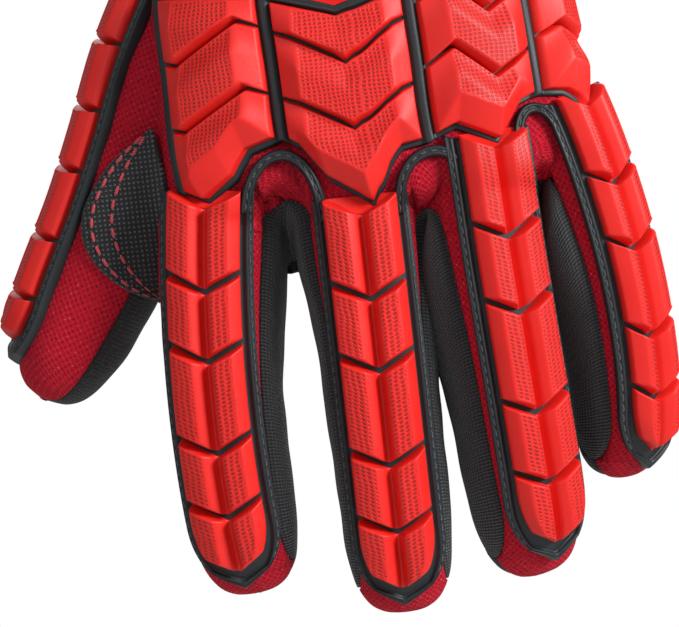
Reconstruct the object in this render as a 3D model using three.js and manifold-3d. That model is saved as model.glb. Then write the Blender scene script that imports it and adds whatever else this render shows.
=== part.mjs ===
// An impact work glove for the left hand, filled as if worn, fingers pointing down.
// Millimetres. +Z runs up the hand to the cuff, -Y faces the back of the hand, +X the little finger.
// The origin is the centre of the cuff's opening.
import * as THREE from "three";
import { mergeVertices } from "three/addons/utils/BufferGeometryUtils.js";
import Module from "manifold-3d";

const wasm = await Module();
wasm.setup();

// Driving dimensions
const CUFF_LENGTH = 56;
const CUFF_WIDTH = 94;
const CUFF_DEPTH = 66;
const CUFF_WALL = 2.6;
const BINDING_HEIGHT = 9;
const BINDING_WALL = 1.2;
const HAND_LENGTH = 104; // cuff seam to the finger webs
const KNUCKLE_WIDTH = 100;
const HAND_DEPTH = 42;
const FINGER_LENGTH = 95; // plate to tip along the middle finger
const FINGER_WIDTH = 26;
const FINGER_DEPTH = 25;
const FINGER_CURL = 12; // how far a fingertip bends towards the palm
const THUMB_LENGTH = 105;
const THUMB_WIDTH = 28;
const THUMB_DEPTH = 30;
const FABRIC_WALL = 1.8;
const SEAM_GAP = 0.3;
const PATCH_THICKNESS = 1.2;

// Moulded guards
const GUARD_HALF_WIDTH = 10; // finger guard with its rim
const RIM_WIDTH = 2.2;
const RIM_HEIGHT = 2.3;
const FLOOR_THICKNESS = 1.1;
const BLOCK_HEIGHT = 3.4; // above the floor of the base
const BLOCK_EDGE_HEIGHT = 1.9;
const BLOCK_BEVEL = 2.2;
const GROOVE_HALF_WIDTH = 1;
const GROOVE_HEIGHT = 0.8;
const ROW_GAP = 1.2;
const CHEVRON_DROP = 4.2; // how far a finger chevron's point hangs below its ends
const THUMB_CHEVRON_DROP = 2.5;
const BASE_LIFT = 0.5; // clearance from the fabric to a moulded base
const RIM_CLEARANCE = 0.4; // between a rim and its blocks
const BLOCK_LIFT = 0.6; // clearance from a base to its blocks
const PLATE_BLOCK_HEIGHT = 4.2;
const PLATE_EDGE_HEIGHT = 2;
const PLATE_BEVEL = 4.5;
const DIVIDER_HALF_WIDTH = 1.1;
const DIVIDER_HEIGHT = 1; // of the ridges and the plate's rim, above the floor
const WEB_LOOP_WIDTH = 2.6;
const WEB_LOOP_HEIGHT = 2.2;

// Derived places
const HAND_ROUNDNESS = 2.5; // power of the cross-section's curve: 2 is an ellipse, more is squarer
const LIMB_ROUNDNESS = 2.3;
const SEAM_Z = -CUFF_LENGTH;
const WEB_Z = SEAM_Z - HAND_LENGTH;

// Hand sections from the cuff seam (at 0) to the webs (at 1).
// centre and width are shares of KNUCKLE_WIDTH, rise and depth of HAND_DEPTH; width and depth are half.
const HAND_SECTIONS = [
  { at: 0.0, centre: -0.02, width: 0.38, rise: 0.05, depth: 0.6 },
  { at: 0.25, centre: -0.03, width: 0.435, rise: 0.04, depth: 0.56 },
  { at: 0.5, centre: -0.05, width: 0.445, rise: 0.0, depth: 0.51 },
  { at: 0.68, centre: -0.045, width: 0.455, rise: -0.02, depth: 0.48 },
  { at: 0.83, centre: -0.04, width: 0.465, rise: -0.06, depth: 0.43 },
  { at: 0.96, centre: -0.02, width: 0.46, rise: -0.13, depth: 0.35 },
  { at: 1.01, centre: -0.01, width: 0.4, rise: -0.14, depth: 0.17 },
];

// Fingers. root and tip are places across, as shares of KNUCKLE_WIDTH; rise is the root's place in
// depth, a share of HAND_DEPTH (minus is towards the back); web is the web's height above the lowest
// web, a share of HAND_LENGTH; length and size are shares of FINGER_LENGTH and of the finger's width
// and depth; bow is a sideways bend, a share of FINGER_WIDTH; roll turns the back of the finger, in
// degrees; curl is a share of FINGER_CURL; guard is a share of GUARD_HALF_WIDTH.
const FINGERS = [
  { name: "index", root: -0.38, tip: -0.4, rise: -0.075, web: 0.096, length: 0.968, size: 1.0,
    bow: -0.12, roll: -11, curl: 0.9, guard: 1.0 },
  { name: "middle", root: -0.07, tip: -0.07, rise: -0.165, web: 0.05, length: 1.0, size: 1.0,
    bow: 0.0, roll: -1, curl: 1.0, guard: 1.0 },
  { name: "ring", root: 0.17, tip: 0.235, rise: -0.17, web: 0.154, length: 1.063, size: 1.0,
    bow: -0.02, roll: 24, curl: 1.0, guard: 0.97 },
  { name: "little", root: 0.355, tip: 0.45, rise: -0.08, web: 0.2, length: 0.905, size: 0.87,
    bow: 0.18, roll: 38, curl: 1.1, guard: 0.82 },
];

// A finger's outline from its web (at 0) to its tip (at 1); width and depth are shares of half sizes.
const FINGER_SECTIONS = [
  { at: -0.34, width: 0.6, depth: 0.6 },
  { at: -0.05, width: 1.0, depth: 1.0 },
  { at: 0.3, width: 1.01, depth: 1.0 },
  { at: 0.6, width: 0.99, depth: 0.97 },
  { at: 0.78, width: 0.95, depth: 0.92 },
  { at: 0.89, width: 0.87, depth: 0.82 },
  { at: 0.95, width: 0.72, depth: 0.66 },
  { at: 0.985, width: 0.45, depth: 0.4 },
  { at: 1.0, width: 0.02, depth: 0.02 },
];

// Thumb sections from its root in the hand (at 0) to its tip (at 1), as a finger's.
const THUMB_SECTIONS = [
  { at: 0.0, width: 1.05, depth: 1.5 },
  { at: 0.25, width: 1.05, depth: 1.38 },
  { at: 0.45, width: 1.02, depth: 1.13 },
  { at: 0.6, width: 1.0, depth: 0.97 },
  { at: 0.76, width: 0.95, depth: 0.87 },
  { at: 0.88, width: 0.86, depth: 0.76 },
  { at: 0.95, width: 0.68, depth: 0.6 },
  { at: 0.985, width: 0.42, depth: 0.36 },
  { at: 1.0, width: 0.02, depth: 0.02 },
];
// The thumb's root: across, a share of KNUCKLE_WIDTH; deep, of HAND_DEPTH; down, of HAND_LENGTH.
const THUMB_ROOT = { across: -0.27, deep: 0.14, down: 0.47 };
const THUMB_LEAN = 33; // degrees from straight down, away from the hand
const THUMB_TIP_DEEP = 0.06; // how far the thumb slants to the palm, a share of THUMB_LENGTH
const THUMB_ROLL = 8; // degrees that the thumb's back turns to the back of the hand

// Rows of a guard: each row's length as a share of the guard.
const FINGER_ROWS = [0.197, 0.193, 0.257, 0.183, 0.17];
const THUMB_ROWS = [0.19, 0.18, 0.165, 0.19, 0.165, 0.11];
const FINGER_GUARD_SPAN = { start: 0.005, end: 0.91 }; // shares of the finger, from its web
const THUMB_GUARD_SPAN = { start: 0.05, end: 0.93 };

// The plate's columns: edges across the hand's back, as shares of KNUCKLE_WIDTH along the fabric.
const PLATE_COLUMNS = [
  { name: "index", left: -0.47, right: -0.205 },
  { name: "middle", left: -0.205, right: 0.11 },
  { name: "ring", left: 0.11, right: 0.375 },
  { name: "little", left: 0.375, right: 0.56 },
];
// The zigzag between the blocks of a column: across is a share of the column, drop of PLATE_ZIGZAG.
const PLATE_ZIGZAG = 8.2;
const PLATE_ZIGZAGS = {
  index: [{ across: 0, drop: 0.8 }, { across: 0.2, drop: 1 }, { across: 0.78, drop: 0 }, { across: 1, drop: 0.3 }],
  middle: [{ across: 0, drop: 0 }, { across: 0.18, drop: 0.3 }, { across: 0.52, drop: 1.1 },
    { across: 0.86, drop: 0.2 }, { across: 1, drop: 0 }],
  ring: [{ across: 0, drop: 0.6 }, { across: 0.28, drop: 0 }, { across: 0.6, drop: 0.9 }, { across: 1, drop: 0.1 }],
  little: [{ across: 0, drop: 0.4 }, { across: 0.35, drop: 0 }, { across: 0.7, drop: 0.4 }, { across: 1, drop: 0.8 }],
};
// How far down the two zigzags of a column lie, from the cuff seam, as shares of HAND_LENGTH.
const PLATE_LEVELS = {
  index: [0.564, 0.707],
  middle: [0.591, 0.731],
  ring: [0.529, 0.668],
  little: [0.49, 0.638],
};
// The plate's top edge and its hem, which arches over each web: down is a share of HAND_LENGTH.
const PLATE_TOPS = {
  index: [{ across: 0, down: 0.49 }, { across: 1, down: 0.52 }],
  middle: [{ across: 0, down: 0.525 }, { across: 0.5, down: 0.575 }, { across: 1, down: 0.53 }],
  ring: [{ across: 0, down: 0.43 }, { across: 0.6, down: 0.4 }, { across: 1, down: 0.4 }],
  little: [{ across: 0, down: 0.375 }, { across: 1, down: 0.4 }],
};
const PLATE_HEMS = {
  index: [{ across: 0, down: 0.903 }, { across: 0.22, down: 0.933 }, { across: 0.5, down: 0.89 },
    { across: 0.68, down: 0.838 }, { across: 1, down: 0.816 }],
  middle: [{ across: 0, down: 0.816 }, { across: 0.12, down: 0.842 }, { across: 0.25, down: 0.915 },
    { across: 0.52, down: 0.978 }, { across: 0.68, down: 0.9 }, { across: 0.8, down: 0.866 },
    { across: 1, down: 0.857 }],
  ring: [{ across: 0, down: 0.857 }, { across: 0.25, down: 0.833 }, { across: 0.57, down: 0.875 },
    { across: 0.8, down: 0.8 }, { across: 1, down: 0.78 }],
  little: [{ across: 0, down: 0.78 }, { across: 0.4, down: 0.785 }, { across: 0.7, down: 0.808 },
    { across: 1, down: 0.83 }],
};

// The loops round the webs: where their feet stand and how far they rise, shares of HAND_LENGTH.
const WEB_LOOPS = [
  { foot: 0.93, rise: 0.075 },
  { foot: 0.94, rise: 0.05 },
  { foot: 0.89, rise: 0.065 },
];
const LOOP_STEPS = 6;
const LOOP_LEG_AT = 0.03; // the place along a finger that a loop's leg meets its guard
const LOOP_EDGE = 0.5; // the height of a loop's edges, a share of WEB_LOOP_HEIGHT

// Materials
const material = (color, roughness) => new THREE.MeshStandardMaterial({ color, roughness, metalness: 0 });
const crimsonMesh = () => material(0xc8142c, 0.9);
const blackFabric = () => material(0x1d1f22, 0.9);
const redRubber = () => material(0xe3231b, 0.55);
const blackRubber = () => material(0x23292d, 0.55);

// A column of a table at a place, on a smooth curve through its rows.
function lookUp(table, place, column) {
  const last = table.length - 1;
  let row = 0;
  while (row < last - 1 && place > table[row + 1].at) row += 1;
  const from = table[row];
  const to = table[row + 1];
  const span = to.at - from.at;
  const share = THREE.MathUtils.clamp((place - from.at) / span, 0, 1);
  const slope = (k) => {
    const before = table[Math.max(k - 1, 0)];
    const after = table[Math.min(k + 1, last)];
    return (span * (after[column] - before[column])) / (after.at - before.at);
  };
  const square = share * share;
  const cube = square * share;
  return (
    (2 * cube - 3 * square + 1) * from[column] +
    (cube - 2 * square + share) * slope(row) +
    (3 * square - 2 * cube) * to[column] +
    (cube - square) * slope(row + 1)
  );
}

// The stretch of a finger's length that can lie under its neighbours' covers
const COVERED_FROM = -0.3;
const COVERED_TO = 0.5;
const CORE_SHARE = 0.3; // points nearer a centre line than this share of the section stay put
const LEAST_HALF_SIZE = 0.05;
const WELD_DISTANCE = 1e-4;

// A limb is the hand, a finger or the thumb: section(at) gives its centre, its axes and its half sizes.
// Its back faces "up", its side axis is "side" and it runs along "along".
function axesFor(along, back) {
  const up = back.clone().addScaledVector(along, -back.dot(along)).normalize();
  return { along, up, side: new THREE.Vector3().crossVectors(up, along).normalize() };
}

function handLimb() {
  return {
    power: HAND_ROUNDNESS,
    first: 0,
    last: 1,
    placeAt: (z) => (SEAM_Z - z) / HAND_LENGTH,
    section(at) {
      const centre = new THREE.Vector3(
        lookUp(HAND_SECTIONS, at, "centre") * KNUCKLE_WIDTH,
        lookUp(HAND_SECTIONS, at, "rise") * HAND_DEPTH,
        SEAM_Z - at * HAND_LENGTH,
      );
      return {
        centre,
        ...axesFor(new THREE.Vector3(0, 0, -1), new THREE.Vector3(0, -1, 0)),
        width: lookUp(HAND_SECTIONS, at, "width") * KNUCKLE_WIDTH,
        depth: lookUp(HAND_SECTIONS, at, "depth") * HAND_DEPTH,
      };
    },
  };
}

function limbAlong(path, back, table, halfWidth, halfDepth, length) {
  const step = 0.01;
  const top = path(0).z;
  return {
    power: LIMB_ROUNDNESS,
    length,
    first: COVERED_FROM,
    last: COVERED_TO,
    placeAt: (z) => (top - z) / length,
    section(at) {
      const along = path(at + step).sub(path(at - step)).normalize();
      return {
        centre: path(at),
        ...axesFor(along, back),
        width: lookUp(table, at, "width") * halfWidth,
        depth: lookUp(table, at, "depth") * halfDepth,
      };
    },
  };
}

function fingerLimb(finger) {
  const length = finger.length * FINGER_LENGTH;
  const top = WEB_Z + finger.web * HAND_LENGTH;
  const path = (at) => {
    const bend = Math.max(at, 0);
    const bow = 4 * bend * (1 - bend) * finger.bow * FINGER_WIDTH;
    return new THREE.Vector3(
      THREE.MathUtils.lerp(finger.root, finger.tip, at) * KNUCKLE_WIDTH + bow,
      finger.rise * HAND_DEPTH + finger.curl * FINGER_CURL * bend * bend,
      top - at * length,
    );
  };
  const roll = THREE.MathUtils.degToRad(finger.roll);
  const back = new THREE.Vector3(Math.sin(roll), -Math.cos(roll), 0);
  const halfWidth = (finger.size * FINGER_WIDTH) / 2;
  const halfDepth = (finger.size * FINGER_DEPTH) / 2;
  return limbAlong(path, back, FINGER_SECTIONS, halfWidth, halfDepth, length);
}

function thumbLimb() {
  const lean = THREE.MathUtils.degToRad(THUMB_LEAN);
  const roll = THREE.MathUtils.degToRad(THUMB_ROLL);
  const root = new THREE.Vector3(
    THUMB_ROOT.across * KNUCKLE_WIDTH,
    THUMB_ROOT.deep * HAND_DEPTH,
    SEAM_Z - THUMB_ROOT.down * HAND_LENGTH,
  );
  const reach = new THREE.Vector3(-Math.sin(lean), THUMB_TIP_DEEP, -Math.cos(lean));
  const path = (at) => root.clone().addScaledVector(reach, at * THUMB_LENGTH);
  const back = new THREE.Vector3(-Math.cos(roll), -Math.sin(roll), 0);
  return limbAlong(path, back, THUMB_SECTIONS, THUMB_WIDTH / 2, THUMB_DEPTH / 2, THUMB_LENGTH);
}

// A point of a limb's surface. The angle is from the back towards the side axis; lift is outwards.
function skinPoint(limb, at, angle, lift) {
  const { centre, up, side, width, depth } = limb.section(at);
  const bulge = (value) => Math.sign(value) * Math.abs(value) ** (2 / limb.power);
  return centre
    .clone()
    .addScaledVector(side, Math.max(width + lift, LEAST_HALF_SIZE) * bulge(Math.sin(angle)))
    .addScaledVector(up, Math.max(depth + lift, LEAST_HALF_SIZE) * bulge(Math.cos(angle)));
}

// The same, by the distance across the fabric from the middle of the back.
function backPoint(limb, at, across, lift) {
  const steps = 40;
  const farthest = Math.PI * 0.75;
  let walked = 0;
  let before = skinPoint(limb, at, 0, 0);
  for (let k = 1; k <= steps; k += 1) {
    const angle = (farthest * k * Math.sign(across || 1)) / steps;
    const here = skinPoint(limb, at, angle, 0);
    const stride = here.distanceTo(before);
    if (walked + stride >= Math.abs(across) || k === steps) {
      const share = (Math.abs(across) - walked) / stride;
      const exact = angle - (Math.sign(across || 1) * farthest * (1 - share)) / steps;
      return skinPoint(limb, at, exact, lift);
    }
    walked += stride;
    before = here;
  }
  return before;
}

// A point moved out of a limb that it lies inside, away from that limb's centre line.
function pushedOut(point, limb) {
  const at = limb.placeAt(point.z);
  if (at < limb.first || at > limb.last) return point;
  const { centre, up, side, width, depth } = limb.section(at);
  const offset = point.clone().sub(centre);
  const across = Math.abs(offset.dot(side) / width) ** limb.power;
  const out = Math.abs(offset.dot(up) / depth) ** limb.power;
  const size = (across + out) ** (1 / limb.power);
  return size >= 1 || size < CORE_SHARE ? point : centre.clone().addScaledVector(offset, 1 / size);
}

// A point over the fabric's outermost surface, where the hand and the roots of its fingers meet.
function coverPoint(limb, at, across, lift) {
  const onSkin = backPoint(limb, at, across, 0);
  const normal = backPoint(limb, at, across, 1).sub(onSkin);
  const others = limb === thumb ? [] : limb === hand ? fingers.map((finger) => finger.limb) : [hand];
  const outermost = others.reduce(pushedOut, onSkin);
  return outermost.addScaledVector(normal, lift);
}

// Meshes and solids
function meshGeometry(points, faces) {
  const geometry = new THREE.BufferGeometry();
  geometry.setAttribute("position", new THREE.Float32BufferAttribute(points.flatMap((p) => p.toArray()), 3));
  geometry.setIndex(faces);
  return geometry;
}

function solidOf(geometry) {
  const bare = geometry.clone();
  bare.deleteAttribute("normal");
  bare.deleteAttribute("uv");
  const merged = mergeVertices(bare, WELD_DISTANCE);
  const vertProperties = new Float32Array(merged.attributes.position.array);
  const triVerts = new Uint32Array(merged.index.array);
  const build = () => new wasm.Manifold(new wasm.Mesh({ numProp: 3, vertProperties, triVerts }));
  const solid = build();
  if (solid.volume() >= 0) return solid;
  for (let k = 0; k < triVerts.length; k += 3) {
    [triVerts[k + 1], triVerts[k + 2]] = [triVerts[k + 2], triVerts[k + 1]];
  }
  return build();
}

function geometryOf(solid) {
  const { vertProperties, triVerts, numProp } = solid.getMesh();
  const positions = new Float32Array((vertProperties.length / numProp) * 3);
  for (let k = 0; k < positions.length / 3; k += 1) {
    positions.set(vertProperties.subarray(k * numProp, k * numProp + 3), k * 3);
  }
  const geometry = new THREE.BufferGeometry();
  geometry.setAttribute("position", new THREE.BufferAttribute(positions, 3));
  geometry.setIndex(new THREE.BufferAttribute(new Uint32Array(triVerts), 1));
  return geometry;
}

function clearOf(solid, others) {
  return mainBody(others.reduce((body, other) => body.subtract(other), solid));
}

// The largest body of a solid: a cut along a curved wall can leave slivers beside it.
function mainBody(solid) {
  const bodies = solid.decompose();
  return bodies.reduce((best, body) => (body.volume() > best.volume() ? body : best));
}

// A closed surface over rings of points, fanned shut at both ends.
function lofted(rings) {
  const count = rings[0].length;
  const points = rings.flat();
  const faces = [];
  for (let row = 0; row < rings.length - 1; row += 1) {
    for (let k = 0; k < count; k += 1) {
      const a = row * count + k;
      const b = row * count + ((k + 1) % count);
      faces.push(a, b, a + count, b, b + count, a + count);
    }
  }
  const cap = (ring, flip) => {
    const middle = points.length;
    const centre = rings[ring].reduce((sum, p) => sum.add(p), new THREE.Vector3());
    points.push(centre.divideScalar(count));
    for (let k = 0; k < count; k += 1) {
      const a = ring * count + k;
      const b = ring * count + ((k + 1) % count);
      faces.push(...(flip ? [middle, b, a] : [middle, a, b]));
    }
  };
  cap(0, true);
  cap(rings.length - 1, false);
  return meshGeometry(points, faces);
}

// A limb's closed tube between two places, lifted off its surface by an amount.
function tube(limb, places, sides, lift) {
  return lofted(
    places.map((at) =>
      Array.from({ length: sides }, (_, k) => skinPoint(limb, at, (2 * Math.PI * k) / sides, lift)),
    ),
  );
}

// A wedge of a limb between two angles, from just beside its centre line outwards: used to cut seams.
function wedge(limb, places, fromAngle, toAngle, reach) {
  const steps = 2;
  const apexShare = 0.06; // keeps two wedges of one finger apart at its centre line
  return lofted(
    places.map((at) => {
      const { centre, up, side, width, depth } = limb.section(at);
      const size = reach * Math.max(width, depth);
      const ray = (share, radius) => {
        const angle = THREE.MathUtils.degToRad(THREE.MathUtils.lerp(fromAngle, toAngle, share));
        return centre
          .clone()
          .addScaledVector(side, radius * Math.sin(angle))
          .addScaledVector(up, radius * Math.cos(angle));
      };
      const fan = Array.from({ length: steps + 1 }, (_, k) => ray(k / steps, size));
      return [ray(0.5, apexShare * size), ...fan];
    }),
  );
}

// A closed pad over a grid of places on a limb: top and bottom are grids of the same size.
function pad(top, bottom) {
  const rows = top.length;
  const columns = top[0].length;
  const points = [...top.flat(), ...bottom.flat()];
  const under = rows * columns;
  const faces = [];
  const quad = (a, b, c, d) => faces.push(a, c, b, a, d, c);
  for (let r = 0; r < rows - 1; r += 1) {
    for (let c = 0; c < columns - 1; c += 1) {
      const a = r * columns + c;
      quad(a, a + 1, a + 1 + columns, a + columns);
      quad(under + a, under + a + columns, under + a + 1 + columns, under + a + 1);
    }
  }
  const wall = (a, b) => quad(a, a + under, b + under, b);
  for (let c = 0; c < columns - 1; c += 1) {
    wall(c, c + 1);
    wall((rows - 1) * columns + c + 1, (rows - 1) * columns + c);
  }
  for (let r = 0; r < rows - 1; r += 1) {
    wall((r + 1) * columns, r * columns);
    wall(r * columns + columns - 1, (r + 1) * columns + columns - 1);
  }
  return meshGeometry(points, faces);
}

// A slab cut by an outline in the Y-Z plane, as wide as asked: used to part back from palm.
function sideProfile(outline, width) {
  const shape = new THREE.Shape(outline.map(([y, z]) => new THREE.Vector2(y, z)));
  const slab = new THREE.ExtrudeGeometry(shape, { depth: width, bevelEnabled: false });
  slab.translate(0, 0, -width / 2);
  const turn = new THREE.Matrix4().makeBasis(
    new THREE.Vector3(0, 1, 0),
    new THREE.Vector3(0, 0, 1),
    new THREE.Vector3(1, 0, 0),
  );
  return slab.applyMatrix4(turn);
}

// A prism cut by an outline in the X-Z plane between two depths.
function frontProfile(outline, nearY, farY) {
  const shape = new THREE.Shape(outline.map(([x, z]) => new THREE.Vector2(x, z)));
  const slab = new THREE.ExtrudeGeometry(shape, { depth: farY - nearY, bevelEnabled: false });
  const turn = new THREE.Matrix4().makeBasis(
    new THREE.Vector3(1, 0, 0),
    new THREE.Vector3(0, 0, 1),
    new THREE.Vector3(0, -1, 0),
  );
  slab.applyMatrix4(turn);
  slab.translate(0, farY, 0);
  return slab;
}

const hand = handLimb();
const fingers = FINGERS.map((finger) => ({ ...finger, limb: fingerLimb(finger) }));
const thumb = thumbLimb();

// Places along each limb where a ring is put
const HAND_RINGS = [0, 0.4, 0.7, 0.86, 0.96, 1.01];
const HAND_HOLLOW_RINGS = [0.5, 0.83, 0.95];
const FINGER_RINGS = [-0.3, 0.1, 0.65, 0.88, 0.965, 1.0];
const FINGER_HOLLOW_RINGS = [-0.3, 0.3, 0.75, 0.92];
const THUMB_RINGS = [0, 0.3, 0.6, 0.82, 0.95, 1.0];
const THUMB_HOLLOW_RINGS = [0.05, 0.4, 0.7, 0.92];
const HAND_SIDES = 16;
const HAND_HOLLOW_SIDES = 12;
const FINGER_SIDES = 10;
const HOLLOW_SIDES = 8;

const handSolid = (lift) => solidOf(tube(hand, HAND_RINGS, HAND_SIDES, lift));
const fingerSolid = (finger, lift) => solidOf(tube(finger.limb, FINGER_RINGS, FINGER_SIDES, lift));
const thumbSolid = (lift) => solidOf(tube(thumb, THUMB_RINGS, FINGER_SIDES, lift));

function handHollow() {
  const wallShare = FABRIC_WALL / HAND_LENGTH;
  return solidOf(tube(hand, [-wallShare, ...HAND_HOLLOW_RINGS], HAND_HOLLOW_SIDES, -FABRIC_WALL));
}

const fingerHollow = (finger) => solidOf(tube(finger.limb, FINGER_HOLLOW_RINGS, HOLLOW_SIDES, -FABRIC_WALL));
const thumbHollow = () => solidOf(tube(thumb, THUMB_HOLLOW_RINGS, HOLLOW_SIDES, -FABRIC_WALL));

// The line that parts the back from the palm. On the hand, deep is a share of HAND_DEPTH and down of
// HAND_LENGTH; along the fingers it follows their curl, at shares of FINGER_LENGTH.
const HAND_SEAM = [{ deep: 0.06, down: -0.02 }, { deep: 0.03, down: 0.5 }, { deep: -0.1, down: 0.9 }];
const FINGER_SEAM = [0.3, 0.6, 0.85, 1.1];
const CUT_DEPTH = 2 * HAND_DEPTH;
const CUT_WIDTH = 3 * KNUCKLE_WIDTH;

function seamLine(shift) {
  const onHand = HAND_SEAM.map(({ deep, down }) => [deep * HAND_DEPTH, SEAM_Z - down * HAND_LENGTH]);
  const [root] = onHand[onHand.length - 1];
  const onFingers = FINGER_SEAM.map((share) => [root + FINGER_CURL * share * share, WEB_Z - share * FINGER_LENGTH]);
  return [...onHand, ...onFingers].map(([y, z]) => [y + shift, z]);
}

function halfSpace(towardsBack) {
  const far = towardsBack ? -CUT_DEPTH : CUT_DEPTH;
  const line = seamLine(towardsBack ? -SEAM_GAP / 2 : SEAM_GAP / 2);
  const outline = [...line, [far, line[line.length - 1][1]], [far, line[0][1]]];
  return solidOf(sideProfile(outline, CUT_WIDTH));
}

// Fourchettes: the side strips between two fingers and the web that joins them.
const FOURCHETTE_ANGLE = 38; // half the angle that a side strip takes of its finger
const SEAM_ANGLE = 1.6; // the seam gap, as degrees round a finger
const FOURCHETTE_SPAN = [-0.02, 0.4, 0.7, 0.92];
const FOURCHETTE_END_OVERLAP = 0.05; // of the cut for the seam across a strip's end
const WEDGE_REACH = 1.3; // a wedge's radius, times the finger's half size
const SEAM_WEDGE_REACH = 1.35;
// The web's strip: half its depth and its roof as shares of FINGER_DEPTH, its drop at the ends and in
// the middle as shares of FINGER_LENGTH.
const WEB_STRIP = { halfDepth: 0.34, roof: 0.16, endDrop: 0.03, middleDrop: 0.2 };

function fourchetteRegion(left, right, clearance) {
  const half = FOURCHETTE_ANGLE + (clearance > 0 ? SEAM_ANGLE : 0);
  const reach = clearance > 0 ? SEAM_WEDGE_REACH : WEDGE_REACH;
  const strip = (limb, middle, span) => solidOf(wedge(limb, span, middle - half, middle + half, reach));
  let strips = strip(left.limb, 90, FOURCHETTE_SPAN).add(strip(right.limb, -90, FOURCHETTE_SPAN));
  if (clearance > 0) {
    const end = FOURCHETTE_SPAN[FOURCHETTE_SPAN.length - 1];
    const tip = [end - FOURCHETTE_END_OVERLAP, end + SEAM_GAP / FINGER_LENGTH];
    strips = strips.add(strip(left.limb, 90, tip)).add(strip(right.limb, -90, tip));
  }
  const from = left.limb.section(0).centre;
  const to = right.limb.section(0).centre;
  const halfDepth = WEB_STRIP.halfDepth * FINGER_DEPTH + clearance;
  const roof = WEB_STRIP.roof * FINGER_DEPTH + clearance;
  const endDrop = WEB_STRIP.endDrop * FINGER_LENGTH;
  const lowest = Math.min(from.z, to.z) - WEB_STRIP.middleDrop * FINGER_LENGTH;
  const middleY = (from.y + to.y) / 2;
  const outline = [
    [from.x, from.z - endDrop],
    [from.x, from.z + roof],
    [to.x, to.z + roof],
    [to.x, to.z - endDrop],
    [(from.x + to.x) / 2, lowest],
  ];
  const web = solidOf(frontProfile(outline, middleY - halfDepth, middleY + halfDepth));
  return strips.add(web);
}

// Parts of the fabric
const outerFingers = fingers.map((finger) => fingerSolid(finger, 0));
const hollow = [handHollow(), thumbHollow(), ...fingers.map(fingerHollow)].reduce((a, b) => a.add(b));
const handShell = outerFingers.reduce((body, finger) => body.add(finger), handSolid(0)).subtract(hollow);

const pairs = [0, 1, 2].map((k) => [fingers[k], fingers[k + 1]]);
const fourchettes = pairs.map(([left, right]) => mainBody(handShell.intersect(fourchetteRegion(left, right, 0))));
const panels = pairs.reduce(
  (shell, [left, right]) => shell.subtract(fourchetteRegion(left, right, SEAM_GAP)),
  handShell,
);
const backPanel = mainBody(panels.intersect(halfSpace(true)));
const palmPanel = mainBody(panels.intersect(halfSpace(false)));

// The thumb meets the hand's side with a seam gap all round.
const thumbShell = outerFingers
  .slice(0, 1)
  .reduce((body, finger) => body.subtract(finger), thumbSolid(0).subtract(handSolid(SEAM_GAP)))
  .subtract(hollow);
const THUMB_PALM_ANGLE = 68; // half the angle that the palm side takes of the thumb
const THUMB_PALM_SPAN = [-0.05, 0.45, 0.8, 1.05];
const THUMB_SEAM_ANGLE = 1.4;
const THUMB_WEDGE_REACH = 1.8;

function thumbPalmRegion(grow) {
  const half = THUMB_PALM_ANGLE + grow;
  return solidOf(wedge(thumb, THUMB_PALM_SPAN, 180 - half, 180 + half, THUMB_WEDGE_REACH));
}

const thumbPalm = mainBody(thumbShell.intersect(thumbPalmRegion(0)));
const thumbBack = mainBody(thumbShell.subtract(thumbPalmRegion(THUMB_SEAM_ANGLE)));

// The patch over the thumb's crotch: outline as shares of THUMB_LENGTH from the thumb's root.
const PATCH_OUTLINE = [
  { across: -0.235, down: 0.29 },
  { across: -0.34, down: 0.35 },
  { across: -0.42, down: 0.46 },
  { across: -0.4, down: 0.56 },
  { across: -0.31, down: 0.645 },
  { across: -0.25, down: 0.655 },
];
const PATCH_PAST = 0.07; // how far the patch's outline cuts past the thumb's middle, a share of THUMB_DEPTH

function thumbPatch() {
  const root = thumb.section(0).centre;
  const outline = PATCH_OUTLINE.map(({ across, down }) => [
    root.x + across * THUMB_LENGTH,
    root.z - down * THUMB_LENGTH,
  ]);
  const skin = (lift) => thumbSolid(lift).add(handSolid(lift));
  const layer = skin(SEAM_GAP + PATCH_THICKNESS).subtract(skin(SEAM_GAP));
  const patch = layer.intersect(solidOf(frontProfile(outline, -HAND_DEPTH, root.y + PATCH_PAST * THUMB_DEPTH)));
  const guard = guardBase(thumb, THUMB_GUARD_SPAN, GUARD_HALF_WIDTH + SEAM_GAP, THUMB_CHEVRON_DROP);
  return clearOf(patch, [solidOf(guard), ...grownFabric]);
}

// Cuff: a tube from the opening down to the hand's seam, in the same shape as the wrist there.
const CUFF_WAIST = { at: 0.7, width: 1.04, depth: 1.05 }; // sizes as shares of the wrist's

function cuffLimb() {
  const wrist = hand.section(0);
  const { x, y } = wrist.centre;
  const rows = [
    { at: 0, width: CUFF_WIDTH / 2, depth: CUFF_DEPTH / 2, x: 0, y: 0 },
    { at: CUFF_WAIST.at, width: wrist.width * CUFF_WAIST.width, depth: wrist.depth * CUFF_WAIST.depth, x, y },
    { at: 1, width: wrist.width, depth: wrist.depth, x, y },
  ];
  return {
    power: LIMB_ROUNDNESS,
    section(at) {
      return {
        centre: new THREE.Vector3(lookUp(rows, at, "x"), lookUp(rows, at, "y"), -at * CUFF_LENGTH),
        ...axesFor(new THREE.Vector3(0, 0, -1), new THREE.Vector3(0, -1, 0)),
        width: lookUp(rows, at, "width"),
        depth: lookUp(rows, at, "depth"),
      };
    },
  };
}

const cuffShape = cuffLimb();
const CUFF_SIDES = 16;
const BINDING_SHARE = BINDING_HEIGHT / CUFF_LENGTH;

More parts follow.
